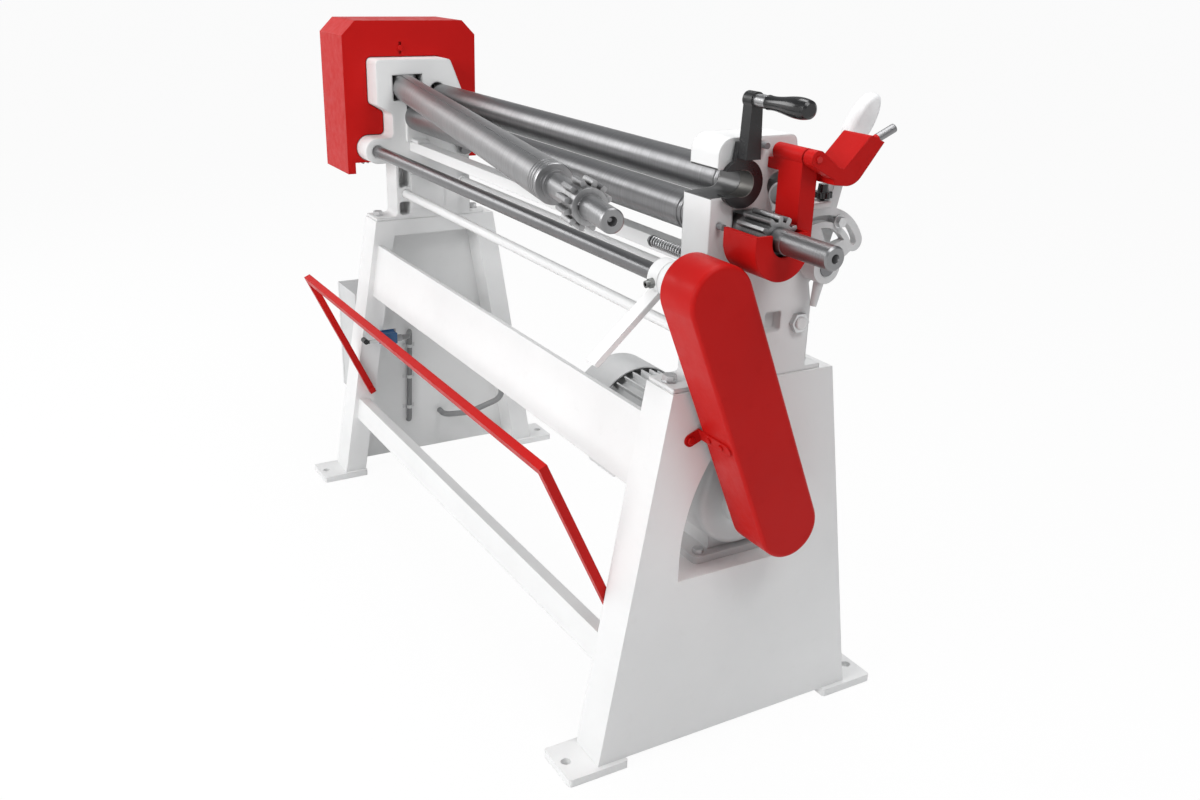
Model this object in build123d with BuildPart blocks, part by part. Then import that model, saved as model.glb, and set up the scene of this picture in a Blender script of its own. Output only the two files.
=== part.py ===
"""Powered three-roll plate rolling machine with a swing-out top roll, in millimetres.

+X runs along the rolls to the gear end, -Y is the operator's side and +Z is up.
The origin is on the floor, in the middle of the four anchor holes.
"""

import os
from math import acos, atan2, ceil, cos, degrees, hypot, pi, radians, sin, sqrt, tan

from build123d import *

os.makedirs("parts", exist_ok=True)

# Clearances
run_fit = 0.05
slide_gap = 0.4
bolt_gap = 0.5
air_gap = 1.0

# Stands
stand_outer = 734.0
stand_width = 80.0
stand_top = 700.0
foot_t = 15.0
foot_x = 100.0
foot_front = 345.0
foot_back = 225.0
anchor_y = 326.0
anchor_r = 9.0
leg_foot_y = 282.0
leg_top_y = 165.0
leg_w = 55.0
sheet = 4.0
top_bar_h = 40.0
stand_inner = stand_outer - stand_width
stand_mid = stand_outer - stand_width / 2
leg_slope = (leg_foot_y - leg_top_y) / (stand_top - foot_t)

# Arch and motor shelf in the right stand
arch_half = 134.0
arch_sill = 351.0
arch_spring = 390.0
arch_r = 340.0
arch_top = 600.0
shelf_t = 12.0
shelf_start = stand_inner - 82.0
shelf_half = 120.0

# Beams along the front
beam_low = 508.0
beam_high = 640.0
beam_inset = 14.0
beam_t = 12.0
tube_low = 172.0
tube_high = 226.0
tube_inset = 12.0
tube_depth = 28.0

# Housings on the stands
house_t = 74.0
house_outer = stand_outer - 4.0
house_inner = house_outer - house_t
house_top = 1100.0
house_foot_t = 8.0
house_foot_front = 162.0
house_foot_back = 138.0
house_bolt_front = 146.0
house_bolt_back = 121.0
house_bolt_r = 8.0
house_mid = (house_inner + house_outer) / 2
column_front = 105.0
left_waist = 108.0
right_waist = 112.0
jaw_round = 26.0
pocket_depth = 50.0

# Rolls
roll_r = 32.5
roll_left = 16.0 - house_inner
roll_right = house_inner - 26.0
neck_r = 19.0
top_y = -66.0
top_z = 1032.5
low_y = -50.0
low_lift = 8.0
nip_gap = 0.5
rear_y = 20.0
rear_z = 1007.0
rear_neck_r = 16.0
groove_r = 3.0
groove_pitch = 12.0
groove_first = house_inner - 61.0
seam_w = 2.4
seam_deep = 1.6
seam_turn = 22.0
low_raised_z = top_z - sqrt((2 * roll_r + nip_gap) ** 2 - (low_y - top_y) ** 2)
low_z = low_raised_z - low_lift

# Swing of the top roll
swing_out = 10.9
swing_lean = 1.65
pivot_x = -house_mid
drum_r = 36.0
drum_h = 61.0
drum_cavity_r = 23.5
swing_pin_r = 8.0
swing_pin_seat = 7.0
window_front = -105.0
window_back = -25.0
tongue_t = 12.0
tongue_w = 30.0
tongue_reach = 12.0
fork_r = 18.0
fork_gap = 2.6
fork_deep = 16.5
swing_dir = Vector(0, -sin(radians(swing_lean)), cos(radians(swing_lean)))
swing_axis = Axis((pivot_x, top_y, top_z), swing_dir)

# Gears of the nip rolls
nip_teeth = 12
nip_pressure = 22.0
nip_tip_r = 36.3
nip_root_r = 27.0
top_gear_left = house_outer + 18.0
top_gear_face = 42.0
low_gear_left = house_outer + 27.0
low_gear_face = 66.0
ring_t = 9.0
nip_backlash = 0.5
collar_r = 27.0
nip_pitch_r = roll_r + nip_gap / 2

# Drive along the front
shaft_r = 14.5
shaft_z = 878.0
drive_module = 4.0
pinion_teeth = 22
bull_teeth = 66
gear_face_w = 36.0
gear_left = -house_outer - 70.0
gear_slack = 0.2
bush_r = 20.0
bush_lip = 10.0
control_left = house_inner + 11.0
control_w = 28.0
control_gap = 1.0
boss_left = control_left + control_w + control_gap
shaft_boss_r = 31.0
pinion_r = drive_module * pinion_teeth / 2
bull_r = drive_module * bull_teeth / 2
shaft_y = top_y - sqrt((pinion_r + bull_r + gear_slack) ** 2 - (top_z - shaft_z) ** 2)

# Motor, reducer and chain
motor_y = 20.0
motor_z = 496.0
motor_r = 83.0
fin_r = 96.0
cowl_r = 99.5
cowl_wall = 2.5
reducer_right = stand_outer - 34.0
motor_flange = reducer_right - 140.0
fin_right = motor_flange - 15.0
cowl_right = fin_right - 198.0
cowl_left = cowl_right - 104.0
output_y = 20.0
output_z = 465.0
output_r = 15.0
chain_pitch = 19.05
sprocket_teeth = 13
sprocket_t = 11.0
chain_x = stand_outer + 52.0
chain_plate_w = 16.0
chain_plate_t = 2.0
cover_r = 57.0
cover_wall = 2.5
cover_left = stand_outer + 12.0
cover_right = stand_outer + 98.0
hook_w = 22.0
hook_t = 3.0
hook_along = -28.0
sprocket_r = chain_pitch / (2 * sin(pi / sprocket_teeth))

# Cover over the left gears
box_near = 5.0 - house_outer
box_far = -house_outer - 172.0
box_front = -208.0
box_back = 149.0
box_top = 1188.0
box_low = 841.0
box_tab_low = 813.0
box_tab_w = 20.0
box_chamfer = 35.0
box_wall = 3.0

# Rear roll adjuster
adjust_y = 97.0
adjust_z = 890.0
adjust_r = 14.0
rear_lean = 22.0
lever_front = 0.0
lever_back = 34.0
slide_w = 40.0
slide_l = 46.0
link_t = 10.0
link_w = 22.0
crank_t = 12.0
crank_pin_r = 6.0
quad_left = house_outer + 6.0
quad_t = 14.0
quad_r = 95.0
quad_slot_r = 76.5
quad_slot_w = 10.0
quad_inner_r = 61.0
clamp_turn = 65.0
slot_half_turn = 40.0
arm_foot = (112.0, 976.0)
arm_bend = (134.0, 1072.0)
arm_tip = (145.0, 1090.0)
arm_half = 9.0
handle_turn = 57.8
handle_mid = (159.0, 1115.0)
handle_l = 100.0
handle_w = 45.0
handle_t = 26.0

# Lock lever
lock_left = house_outer + 5.0
lock_t = 10.0
lock_arm_t = 22.0
lock_r = 38.0
lock_spigot_r = 30.0
lock_spigot = 18.0
lock_reach = 126.0
lock_slot_gap = 1.3
spindle_r = 7.0
grip_left = house_outer + 62.0
grip_right = house_outer + 157.0

# Guards over the nip gears
guard_left = house_outer + 26.0
guard_right = house_outer + 108.0
guard_front = -104.0
guard_back = -9.0
guard_wall = 7.0
guard_low = 900.0
guard_front_top = 972.0
head_left = house_outer + 12.0
head_low = 1052.0
arm_left = house_outer + 27.0
arm_right = house_outer + 82.0
arm_thick = 30.0
hinge_y = 1.5
hinge_z = 1079.0
hinge_r = 13.0
hinge_pin_r = 5.0

# Trip bar and limit switch
trip_y = -204.0
trip_z = 252.0
trip_corner_y = -352.0
trip_corner_z = 572.0
trip_t = 16.0
trip_x = stand_inner - 10.0
trip_pin_r = 5.0
trip_end = 11.0

# Electric box
cab_front = -206.0
cab_w = 300.0
cab_low = 191.0
cab_high = 491.0
cab_deep = 130.0
cab_door_t = 16.0


def leg_y(z):
    """Distance of a leg's outer edge from the middle at height z."""
    return leg_top_y + (stand_top - z) * leg_slope


def on_leg(z, deep=0.0, up=0.0):
    """Point in the sloping front: height z on the front line, then in and up the slope."""
    size = hypot(1, leg_slope)
    along = (leg_slope / size, 1 / size)
    inward = (1 / size, -leg_slope / size)
    return (-leg_y(z) + deep * inward[0] + up * along[0], z + deep * inward[1] + up * along[1])


def rear_point(up, across):
    """Point beside the rear roll's rest centre, along and across its lift direction."""
    lift = (-sin(radians(rear_lean)), cos(radians(rear_lean)))
    return (rear_y + up * lift[0] + across * lift[1], rear_z + up * lift[1] - across * lift[0])


def square_plane(x, y, z):
    """Plane square to the rolls with its centre at a point; local x is Y, local y is Z."""
    return Plane(origin=(x, y, z), x_dir=(0, 1, 0), z_dir=(1, 0, 0))


def swung_plane(reach, turn=-swing_out):
    """Plane square to the top roll's axis at a reach from its swing pivot."""
    along = Vector(1, 0, 0).rotate(swing_axis, turn)
    across = Vector(0, 1, 0).rotate(swing_axis, turn)
    return Plane(origin=swing_axis.position + along * reach, x_dir=across, z_dir=along)


def gear_face(teeth, pitch_r, tip_r, root_r, pressure, backlash, turn):
    """Face of a spur gear with involute flanks; turn is the angle of one tooth."""
    base_r = pitch_r * cos(radians(pressure))
    involute = tan(radians(pressure)) - radians(pressure)
    half_tooth = pi / (2 * teeth) - backlash / (2 * pitch_r)
    low_r = max(base_r, root_r)
    corners = []
    for tooth in range(teeth):
        middle = radians(turn) + 2 * pi * tooth / teeth
        rising = []
        for step in range(4):
            r = low_r + (tip_r - low_r) * step / 3
            roll = acos(min(1.0, base_r / r))
            rising.append((r, half_tooth + involute - tan(roll) + roll))
        flank = [(root_r, rising[0][1])] + rising if root_r < low_r - 0.01 else rising
        corners += [(r * cos(middle - a), r * sin(middle - a)) for r, a in flank]
        corners += [(r * cos(middle + a), r * sin(middle + a)) for r, a in reversed(flank)]
    with BuildSketch() as face:
        with BuildLine():
            Polyline(*corners, close=True)
        make_face()
    return face.sketch


def hull_face(*rounds):
    """Face that wraps a row of circles, each (y, z, r)."""
    with BuildSketch() as face:
        for y, z, r in rounds:
            with Locations((y, z)):
                Circle(r)
        make_hull()
    return face.sketch


def biarc_helix(base, radius, pitch, turns):
    """Helix about +X from a base point as tangent arcs, two for each quarter turn."""
    rise = pitch / 4
    slope = pitch / (2 * pi)

    def point(k):
        return Vector(*base) + Vector(k * rise, radius * cos(k * pi / 2), radius * sin(k * pi / 2))

    def heading(k):
        side = Vector(slope, -radius * sin(k * pi / 2), radius * cos(k * pi / 2))
        return side.normalized()

    with BuildLine() as line:
        for k in range(int(turns * 4)):
            start, end = point(k), point(k + 1)
            from_dir, to_dir = heading(k), heading(k + 1)
            span = end - start
            both = from_dir + to_dir
            quad = 2 * (1 - from_dir.dot(to_dir))
            line_term = 2 * span.dot(both)
            reach = (-line_term + sqrt(line_term**2 + 4 * quad * span.dot(span))) / (2 * quad)
            lead = start + from_dir * reach
            trail = end - to_dir * reach
            joint = (lead + trail) * 0.5
            TangentArc(start, joint, tangent=from_dir)
            TangentArc(joint, end, tangent=(trail - lead).normalized())
    return line.line


# Left stand: panel, two box legs, top box and foot plates, welded
with BuildPart() as left_stand:
    with BuildSketch(Plane.YZ.offset(-stand_outer)):
        Polygon((-leg_y(foot_t), foot_t), (leg_y(foot_t), foot_t), (leg_top_y, stand_top),
                (-leg_top_y, stand_top), align=None)
    extrude(amount=sheet)
    with BuildSketch(Plane.YZ.offset(-stand_outer)) as left_legs:
        Polygon((-leg_y(foot_t), foot_t), (leg_w - leg_y(foot_t), foot_t),
                (leg_w - leg_top_y, stand_top), (-leg_top_y, stand_top), align=None)
        mirror(about=Plane.YZ)
        with Locations((0, stand_top - top_bar_h / 2)):
            Rectangle(2 * leg_top_y - leg_w, top_bar_h)
    extrude(amount=stand_width)
    with BuildSketch(Plane.YZ.offset(-stand_outer + sheet)):
        Polygon((sheet - leg_y(foot_t), foot_t), (leg_w - sheet - leg_y(foot_t), foot_t),
                (leg_w - sheet - leg_y(stand_top - top_bar_h), stand_top - top_bar_h),
                (sheet - leg_y(stand_top - top_bar_h), stand_top - top_bar_h), align=None)
        mirror(about=Plane.YZ)
        with Locations((0, stand_top - top_bar_h / 2)):
            Rectangle(2 * (leg_top_y - sheet), top_bar_h - 2 * sheet)
    extrude(amount=stand_width - 2 * sheet, mode=Mode.SUBTRACT)
    with BuildSketch(Plane.XY):
        with Locations((-stand_mid, (foot_front + foot_back) / 2), (-stand_mid, -(foot_front + foot_back) / 2)):
            RectangleRounded(foot_x, foot_front - foot_back, 6)
        with Locations((-stand_mid, anchor_y), (-stand_mid, -anchor_y)):
            Circle(anchor_r, mode=Mode.SUBTRACT)
    extrude(amount=foot_t)
    with BuildSketch(Plane.XY.offset(stand_top)):
        with Locations((-house_mid, -house_bolt_front), (-house_mid, house_bolt_back)):
            Circle(house_bolt_r + bolt_gap)
    extrude(amount=-2 * sheet, mode=Mode.SUBTRACT)
left_stand.part.label = "left_stand"
export_step(left_stand.part, "parts/left_stand.step")

# Right stand: the same weldment with the arch and the motor shelf
with BuildPart() as right_stand:
    with BuildSketch(Plane.YZ.offset(stand_outer)):
        Polygon((-leg_y(foot_t), foot_t), (leg_y(foot_t), foot_t), (leg_top_y, stand_top),
                (-leg_top_y, stand_top), align=None)
    extrude(amount=-sheet)
    with BuildSketch(Plane.YZ.offset(stand_outer)):
        arch_turn = atan2(arch_top - arch_spring, sqrt(arch_r**2 - (arch_top - arch_spring) ** 2))
        arch_mid = (arch_half - arch_r + arch_r * cos(arch_turn / 2), arch_spring + arch_r * sin(arch_turn / 2))
        arch_end = (arch_half - arch_r + arch_r * cos(arch_turn), arch_top)
        with BuildLine():
            Polyline((arch_half, arch_spring), (arch_half, arch_sill), (-arch_half, arch_sill), (-arch_half, arch_spring))
            ThreePointArc((arch_half, arch_spring), arch_mid, arch_end)
            Line(arch_end, (-arch_end[0], arch_top))
            ThreePointArc((-arch_end[0], arch_top), (-arch_mid[0], arch_mid[1]), (-arch_half, arch_spring))
        make_face()
    extrude(amount=-sheet, mode=Mode.SUBTRACT)
    with BuildSketch(Plane.YZ.offset(stand_outer)):
        Polygon((-leg_y(foot_t), foot_t), (leg_w - leg_y(foot_t), foot_t),
                (leg_w - leg_top_y, stand_top), (-leg_top_y, stand_top), align=None)
        mirror(about=Plane.YZ)
        with Locations((0, stand_top - top_bar_h / 2)):
            Rectangle(2 * leg_top_y - leg_w, top_bar_h)
    extrude(amount=-stand_width)
    with BuildSketch(Plane.YZ.offset(stand_outer - sheet)):
        Polygon((sheet - leg_y(foot_t), foot_t), (leg_w - sheet - leg_y(foot_t), foot_t),
                (leg_w - sheet - leg_y(stand_top - top_bar_h), stand_top - top_bar_h),
                (sheet - leg_y(stand_top - top_bar_h), stand_top - top_bar_h), align=None)
        mirror(about=Plane.YZ)
        with Locations((0, stand_top - top_bar_h / 2)):
            Rectangle(2 * (leg_top_y - sheet), top_bar_h - 2 * sheet)
    extrude(amount=2 * sheet - stand_width, mode=Mode.SUBTRACT)
    with BuildSketch(Plane.XY):
        with Locations((stand_mid, (foot_front + foot_back) / 2), (stand_mid, -(foot_front + foot_back) / 2)):
            RectangleRounded(foot_x, foot_front - foot_back, 6)
        with Locations((stand_mid, anchor_y), (stand_mid, -anchor_y)):
            Circle(anchor_r, mode=Mode.SUBTRACT)
    extrude(amount=foot_t)
    with BuildSketch(Plane.XY.offset(arch_sill)):
        with Locations(((stand_inner + stand_outer - sheet) / 2, 0)):
            Rectangle(stand_width - sheet, 2 * (leg_y(arch_sill) - leg_w + sheet / 2))
        with Locations(((shelf_start + stand_inner) / 2, 0)):
            Rectangle(stand_inner - shelf_start, 2 * shelf_half)
        with Locations((motor_flange + 30, motor_y), (reducer_right - 18, motor_y)):
            with Locations((0, -78), (0, 78)):
                Circle(6 + bolt_gap, mode=Mode.SUBTRACT)
    extrude(amount=-shelf_t)
    with BuildSketch(Plane.XY.offset(stand_top)):
        with Locations((house_mid, -house_bolt_front), (house_mid, house_bolt_back)):
            Circle(house_bolt_r + bolt_gap)
    extrude(amount=-2 * sheet, mode=Mode.SUBTRACT)
right_stand.part.label = "right_stand"
export_step(right_stand.part, "parts/right_stand.step")

# Upper beam: a flat bar set back in the slope of the legs
with BuildPart() as upper_beam:
    with BuildSketch(Plane.YZ.offset(-stand_inner)):
        Polygon(on_leg(beam_low, beam_inset), on_leg(beam_high, beam_inset), on_leg(beam_high, beam_inset + beam_t),
                on_leg(beam_low, beam_inset + beam_t), align=None)
    extrude(amount=2 * stand_inner)
upper_beam.part.label = "upper_beam"
export_step(upper_beam.part, "parts/upper_beam.step")

# Lower beam: a rectangular tube in the same slope
with BuildPart() as lower_beam:
    with BuildSketch(Plane.YZ.offset(-stand_inner)):
        tube_back = tube_inset + tube_depth
        Polygon(on_leg(tube_low, tube_inset), on_leg(tube_high, tube_inset), on_leg(tube_high, tube_back),
                on_leg(tube_low, tube_back), align=None)
        Polygon(on_leg(tube_low, tube_inset + sheet, sheet), on_leg(tube_high, tube_inset + sheet, -sheet),
                on_leg(tube_high, tube_back - sheet, -sheet), on_leg(tube_low, tube_back - sheet, sheet),
                align=None, mode=Mode.SUBTRACT)
    extrude(amount=2 * stand_inner)
lower_beam.part.label = "lower_beam"
export_step(lower_beam.part, "parts/lower_beam.step")

# Windows of the rear roll slides, shared by both housings
crank_r = (adjust_y - rear_y) * cos(radians(rear_lean)) + (adjust_z - rear_z) * sin(radians(rear_lean))
rest_turn = radians(180 + rear_lean + (lever_back - lever_front) / 2)
pin_y = adjust_y + crank_r * cos(rest_turn)
pin_z = adjust_z + crank_r * sin(rest_turn)
pin_reach = (pin_y - rear_y) * sin(radians(rear_lean)) + (rear_z - pin_z) * cos(radians(rear_lean))
pin_play = crank_r * (1 - cos(radians(lever_back + lever_front) / 2))
slide_up = crank_r * radians(lever_back)
slide_down = crank_r * radians(lever_front)
print("rear crank", round(crank_r, 2), "reach", round(pin_reach, 2), "up", round(slide_up, 2),
      "down", round(slide_down, 2), "low roll z", round(low_z, 2), "shaft y", round(shaft_y, 2))
slide_round = 3.0
slide_foot = slide_round - slide_l / 2
slot_low = low_z - 31 - air_gap
slot_half = neck_r + 0.8
jack_r = 8.0
jack_y = low_y
pocket_front = jack_y - 14
pocket_back = 20.0
pocket_low = 732.0
pocket_high = 808.0
tie_front = (-80.0, 766.0)
tie_front_r = 10.3
tie_boss_r = 19.0
tie_back = (80.0, 790.0)
tie_back_r = 11.0

boss_low = shaft_z - shaft_boss_r
boss_high = shaft_z + shaft_boss_r

# Left housing: casting with the drum window, the slide window and the shaft boss
with BuildPart() as left_housing:
    with BuildSketch(Plane.YZ.offset(-house_outer)) as left_face:
        with BuildLine():
            Polyline((-house_foot_front, stand_top), (-house_foot_front, stand_top + house_foot_t),
                     (-column_front, stand_top + house_foot_t), (-column_front, boss_low), (shaft_y, boss_low),
                     (shaft_y, boss_high), (-left_waist, boss_high), (-left_waist, 968),
                     (-147, 990), (-147, house_top), (49, house_top), (79, 1027), (98, 900),
                     (98, stand_top + house_foot_t), (house_foot_back, stand_top + house_foot_t),
                     (house_foot_back, stand_top), close=True)
        make_face()
        fillet(left_face.vertices().group_by(Axis.Y)[-1], 12)
        for corner in ((-column_front, stand_top + house_foot_t), (-column_front, boss_low), (-left_waist, boss_high),
                       (-left_waist, 968), (-147, 990)):
            fillet(left_face.vertices().sort_by_distance((*corner, 0))[0], 12)
        with Locations((shaft_y, shaft_z)):
            Circle(shaft_boss_r)
    extrude(amount=house_t)
    with BuildSketch(Plane.YZ.offset(-house_inner)):
        add(hull_face((adjust_y, adjust_z, 26), (74, adjust_z - 34, 14), (70, adjust_z + 34, 14)))
    extrude(amount=-34)
    with BuildSketch(Plane.YZ.offset(-house_outer)):
        with Locations(((window_front + window_back) / 2, top_z)):
            Rectangle(window_back - window_front, drum_h + 2 * slide_gap, rotation=swing_lean)
        add(hull_face((*rear_point(slide_up + air_gap, 0), slide_w / 2 + slide_gap),
                      (*rear_point(slide_foot - slide_down - air_gap, slide_w / 2 + slide_gap - slide_round), slide_round),
                      (*rear_point(slide_foot - slide_down - air_gap, slide_round - slide_w / 2 - slide_gap), slide_round)))
        with Locations((low_y, (slot_low + low_raised_z) / 2 + 10)):
            Rectangle(2 * slot_half, low_raised_z - slot_low + 20 + air_gap)
        with Locations((shaft_y, shaft_z)):
            Circle(shaft_r + slide_gap)
        with Locations((adjust_y, adjust_z)):
            Circle(adjust_r + run_fit)
        with Locations(tie_front):
            Circle(tie_front_r + 0.3)
        with Locations(tie_back):
            Circle(tie_back_r + 0.3)
    extrude(amount=house_t, mode=Mode.SUBTRACT)
    with BuildSketch(square_plane(-house_outer, shaft_y, shaft_z)):
        Circle(bush_r)
    extrude(amount=house_t - bush_lip, mode=Mode.SUBTRACT)
    with BuildSketch(Plane.YZ.offset(-house_inner)):
        with Locations(((pocket_front + pocket_back) / 2, (pocket_low + pocket_high) / 2)):
            Rectangle(pocket_back - pocket_front, pocket_high - pocket_low)
        with Locations((-83, 811)):
            RectangleRounded(30, 58, 8)
        with Locations((-83, 729)):
            RectangleRounded(30, 34, 8)
        with Locations(tie_front):
            Circle(tie_boss_r, mode=Mode.SUBTRACT)
    extrude(amount=-pocket_depth, mode=Mode.SUBTRACT)
    with BuildSketch(Plane.XY.offset(pocket_low)):
        with Locations((-house_mid, jack_y)):
            Circle(jack_r + 0.3)
    extrude(amount=slot_low - pocket_low + 1, mode=Mode.SUBTRACT)
    with BuildSketch(Plane.XY.offset(stand_top)):
        with Locations((-house_mid, -house_bolt_front), (-house_mid, house_bolt_back)):
            Circle(house_bolt_r + bolt_gap)
    extrude(amount=house_foot_t, mode=Mode.SUBTRACT)
    with BuildSketch(Plane(origin=swing_axis.position, x_dir=(1, 0, 0), z_dir=swing_dir)):
        Circle(swing_pin_r)
    extrude(amount=drum_h / 2 + 24, both=True, mode=Mode.SUBTRACT)
left_housing.part.label = "left_housing"
export_step(left_housing.part, "parts/left_housing.step")

# Right housing: open jaw for the top roll, the same lower half
with BuildPart() as right_housing:
    with BuildSketch(Plane.YZ.offset(house_inner)) as right_face:
        with BuildLine():
            Polyline((-house_foot_front, stand_top), (-house_foot_front, stand_top + house_foot_t),
                     (-column_front, stand_top + house_foot_t), (-column_front, boss_low), (shaft_y, boss_low),
                     (shaft_y, boss_high), (-right_waist, boss_high), (-right_waist, top_z),
                     (-103, top_z), (-103, house_top), (43, house_top), (105, 818),
                     (105, stand_top + house_foot_t), (house_foot_back, stand_top + house_foot_t),
                     (house_foot_back, stand_top), close=True)
        make_face()
        fillet(right_face.vertices().group_by(Axis.Y)[-1].sort_by(Axis.X)[0], jaw_round)
        fillet(right_face.vertices().group_by(Axis.Y)[-1].sort_by(Axis.X)[-1], 12)
        for corner in ((-column_front, stand_top + house_foot_t), (-column_front, boss_low), (-right_waist, boss_high)):
            fillet(right_face.vertices().sort_by_distance((*corner, 0))[0], 8)
        with Locations((shaft_y, shaft_z)):
            Circle(shaft_boss_r)
    extrude(amount=house_t)
    with BuildSketch(Plane.YZ.offset(house_inner)):
        with Locations((-right_waist, shaft_z)):
            Rectangle(shaft_boss_r - right_waist - shaft_y + 1, 2 * shaft_boss_r + 24, align=(Align.MAX, Align.CENTER))
    extrude(amount=boss_left - house_inner, mode=Mode.SUBTRACT)
    with BuildSketch(Plane.YZ.offset(house_outer)):
        clamp_y = adjust_y + quad_slot_r * cos(radians(clamp_turn))
        clamp_z = adjust_z + quad_slot_r * sin(radians(clamp_turn))
        add(hull_face((adjust_y, adjust_z, 26), (74, adjust_z - 34, 14), (58, clamp_z, 14), (clamp_y, clamp_z, 15)))
    extrude(amount=-28)
    with BuildSketch(Plane.XY.offset(988)):
        with Locations((house_outer + 17, 74)):
            RectangleRounded(42, 50, 8)
        with Locations((house_outer + 20, 90)):
            Circle(4 + run_fit, mode=Mode.SUBTRACT)
    extrude(amount=9)
    with BuildSketch(Plane.YZ.offset(house_inner)):
        jaw = neck_r + 1.5
        Polygon((top_y, top_z + jaw), (-120, top_z + jaw), (-120, top_z - jaw - 2.2), (top_y, top_z - jaw),
                align=None)
        with Locations((top_y, top_z)):
            Circle(jaw)
        add(hull_face((*rear_point(slide_up + air_gap, 0), slide_w / 2 + slide_gap),
                      (*rear_point(slide_foot - slide_down - air_gap, slide_w / 2 + slide_gap - slide_round), slide_round),
                      (*rear_point(slide_foot - slide_down - air_gap, slide_round - slide_w / 2 - slide_gap), slide_round)))
        with Locations((low_y, (slot_low + low_raised_z) / 2 + 10)):
            Rectangle(2 * slot_half, low_raised_z - slot_low + 20 + air_gap)
        with Locations((shaft_y, shaft_z)):
            Circle(shaft_r + slide_gap)
        with Locations((adjust_y, adjust_z)):
            Circle(adjust_r + run_fit)
        with Locations(tie_front):
            Circle(tie_front_r + 0.3)
        with Locations(tie_back):
            Circle(tie_back_r + 0.3)
    extrude(amount=house_t, mode=Mode.SUBTRACT)
    with BuildSketch(square_plane(house_outer, shaft_y, shaft_z)):
        Circle(bush_r)
    extrude(amount=boss_left + bush_lip - house_outer, mode=Mode.SUBTRACT)
    with BuildSketch(Plane.YZ.offset(house_outer)):
        with Locations((top_y, top_z)):
            Circle(lock_spigot_r + run_fit)
        with Locations((27, 797)):
            RectangleRounded(33, 33, 4)
    extrude(amount=-lock_spigot - air_gap, mode=Mode.SUBTRACT)
    with BuildSketch(Plane.YZ.offset(house_outer)):
        with Locations((clamp_y, clamp_z)):
            Circle(5 + run_fit)
        with Locations((-23, 1087), (-95, 967)):
            Circle(5)
    extrude(amount=-20, mode=Mode.SUBTRACT)
    with BuildSketch(Plane.YZ.offset(house_inner)):
        with Locations(((pocket_front + pocket_back) / 2, (pocket_low + pocket_high) / 2)):
            Rectangle(pocket_back - pocket_front, pocket_high - pocket_low)
        with Locations((-83, 811)):
            RectangleRounded(30, 58, 8)
        with Locations((-83, 729)):
            RectangleRounded(30, 34, 8)
        with Locations(tie_front):
            Circle(tie_boss_r, mode=Mode.SUBTRACT)
    extrude(amount=pocket_depth, mode=Mode.SUBTRACT)
    with BuildSketch(Plane.YZ.offset(house_inner)):
        with Locations((-105 + 3, 907)):
            Circle(4)
    extrude(amount=20, mode=Mode.SUBTRACT)
    with BuildSketch(Plane.XY.offset(pocket_low)):
        with Locations((house_mid, jack_y)):
            Circle(jack_r + 0.3)
    extrude(amount=slot_low - pocket_low + 1, mode=Mode.SUBTRACT)
    with BuildSketch(Plane.XY.offset(stand_top)):
        with Locations((house_mid, -house_bolt_front), (house_mid, house_bolt_back)):
            Circle(house_bolt_r + bolt_gap)
    extrude(amount=house_foot_t, mode=Mode.SUBTRACT)
right_housing.part.label = "right_housing"
export_step(right_housing.part, "parts/right_housing.step")

# Housing bolts with their nuts inside the top boxes
with BuildPart() as housing_bolts:
    with Locations(*[(x, y, 0) for x in (-house_mid, house_mid) for y in (-house_bolt_front, house_bolt_back)]):
        with Locations((0, 0, stand_top + house_foot_t)):
            Cylinder(13.4, 2, align=(Align.CENTER, Align.CENTER, Align.MIN))
        with Locations((0, 0, stand_top - sheet - 12)):
            Cylinder(house_bolt_r, sheet + 14 + house_foot_t, align=(Align.CENTER, Align.CENTER, Align.MIN))
    with BuildSketch(Plane.XY.offset(stand_top + house_foot_t + 2)):
        with Locations(*[(x, y) for x in (-house_mid, house_mid) for y in (-house_bolt_front, house_bolt_back)]):
            RegularPolygon(11.8, 6)
    extrude(amount=10)
    with BuildSketch(Plane.XY.offset(stand_top - sheet - 13)):
        with Locations(*[(x, y) for x in (-house_mid, house_mid) for y in (-house_bolt_front, house_bolt_back)]):
            RegularPolygon(11.8, 6)
    extrude(amount=13)
housing_bolts.part.label = "housing_bolts"
export_step(housing_bolts.part, "parts/housing_bolts.step")

# Cover plates over the jack screw pockets
with BuildPart() as web_covers:
    with BuildSketch(Plane.YZ.offset(house_inner - 3)):
        with Locations((-20.5, (pocket_low + pocket_high) / 2)):
            RectangleRounded(91, 87, 5)
    extrude(amount=3)
    mirror(about=Plane.YZ)
web_covers.part.label = "web_covers"
export_step(web_covers.part, "parts/web_covers.step")

# Tie rods between the housings
rod_end = house_outer + 13.5
with BuildPart() as front_tie_rod:
    with BuildSketch(square_plane(-rod_end, *tie_front)):
        Circle(tie_front_r)
    extrude(amount=2 * rod_end)
    chamfer(front_tie_rod.edges().filter_by(GeomType.CIRCLE), 1.2)
front_tie_rod.part.label = "front_tie_rod"
export_step(front_tie_rod.part, "parts/front_tie_rod.step")

with BuildPart() as rear_tie_rod:
    with BuildSketch(square_plane(-rod_end, *tie_back)):
        Circle(tie_back_r)
    extrude(amount=2 * rod_end)
    chamfer(rear_tie_rod.edges().filter_by(GeomType.CIRCLE), 1.5)
    with BuildSketch(square_plane(-house_inner, *tie_back)):
        Circle(tie_back_r + 4)
    extrude(amount=12)
rear_tie_rod.part.label = "rear_tie_rod"
export_step(rear_tie_rod.part, "parts/rear_tie_rod.step")

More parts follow.
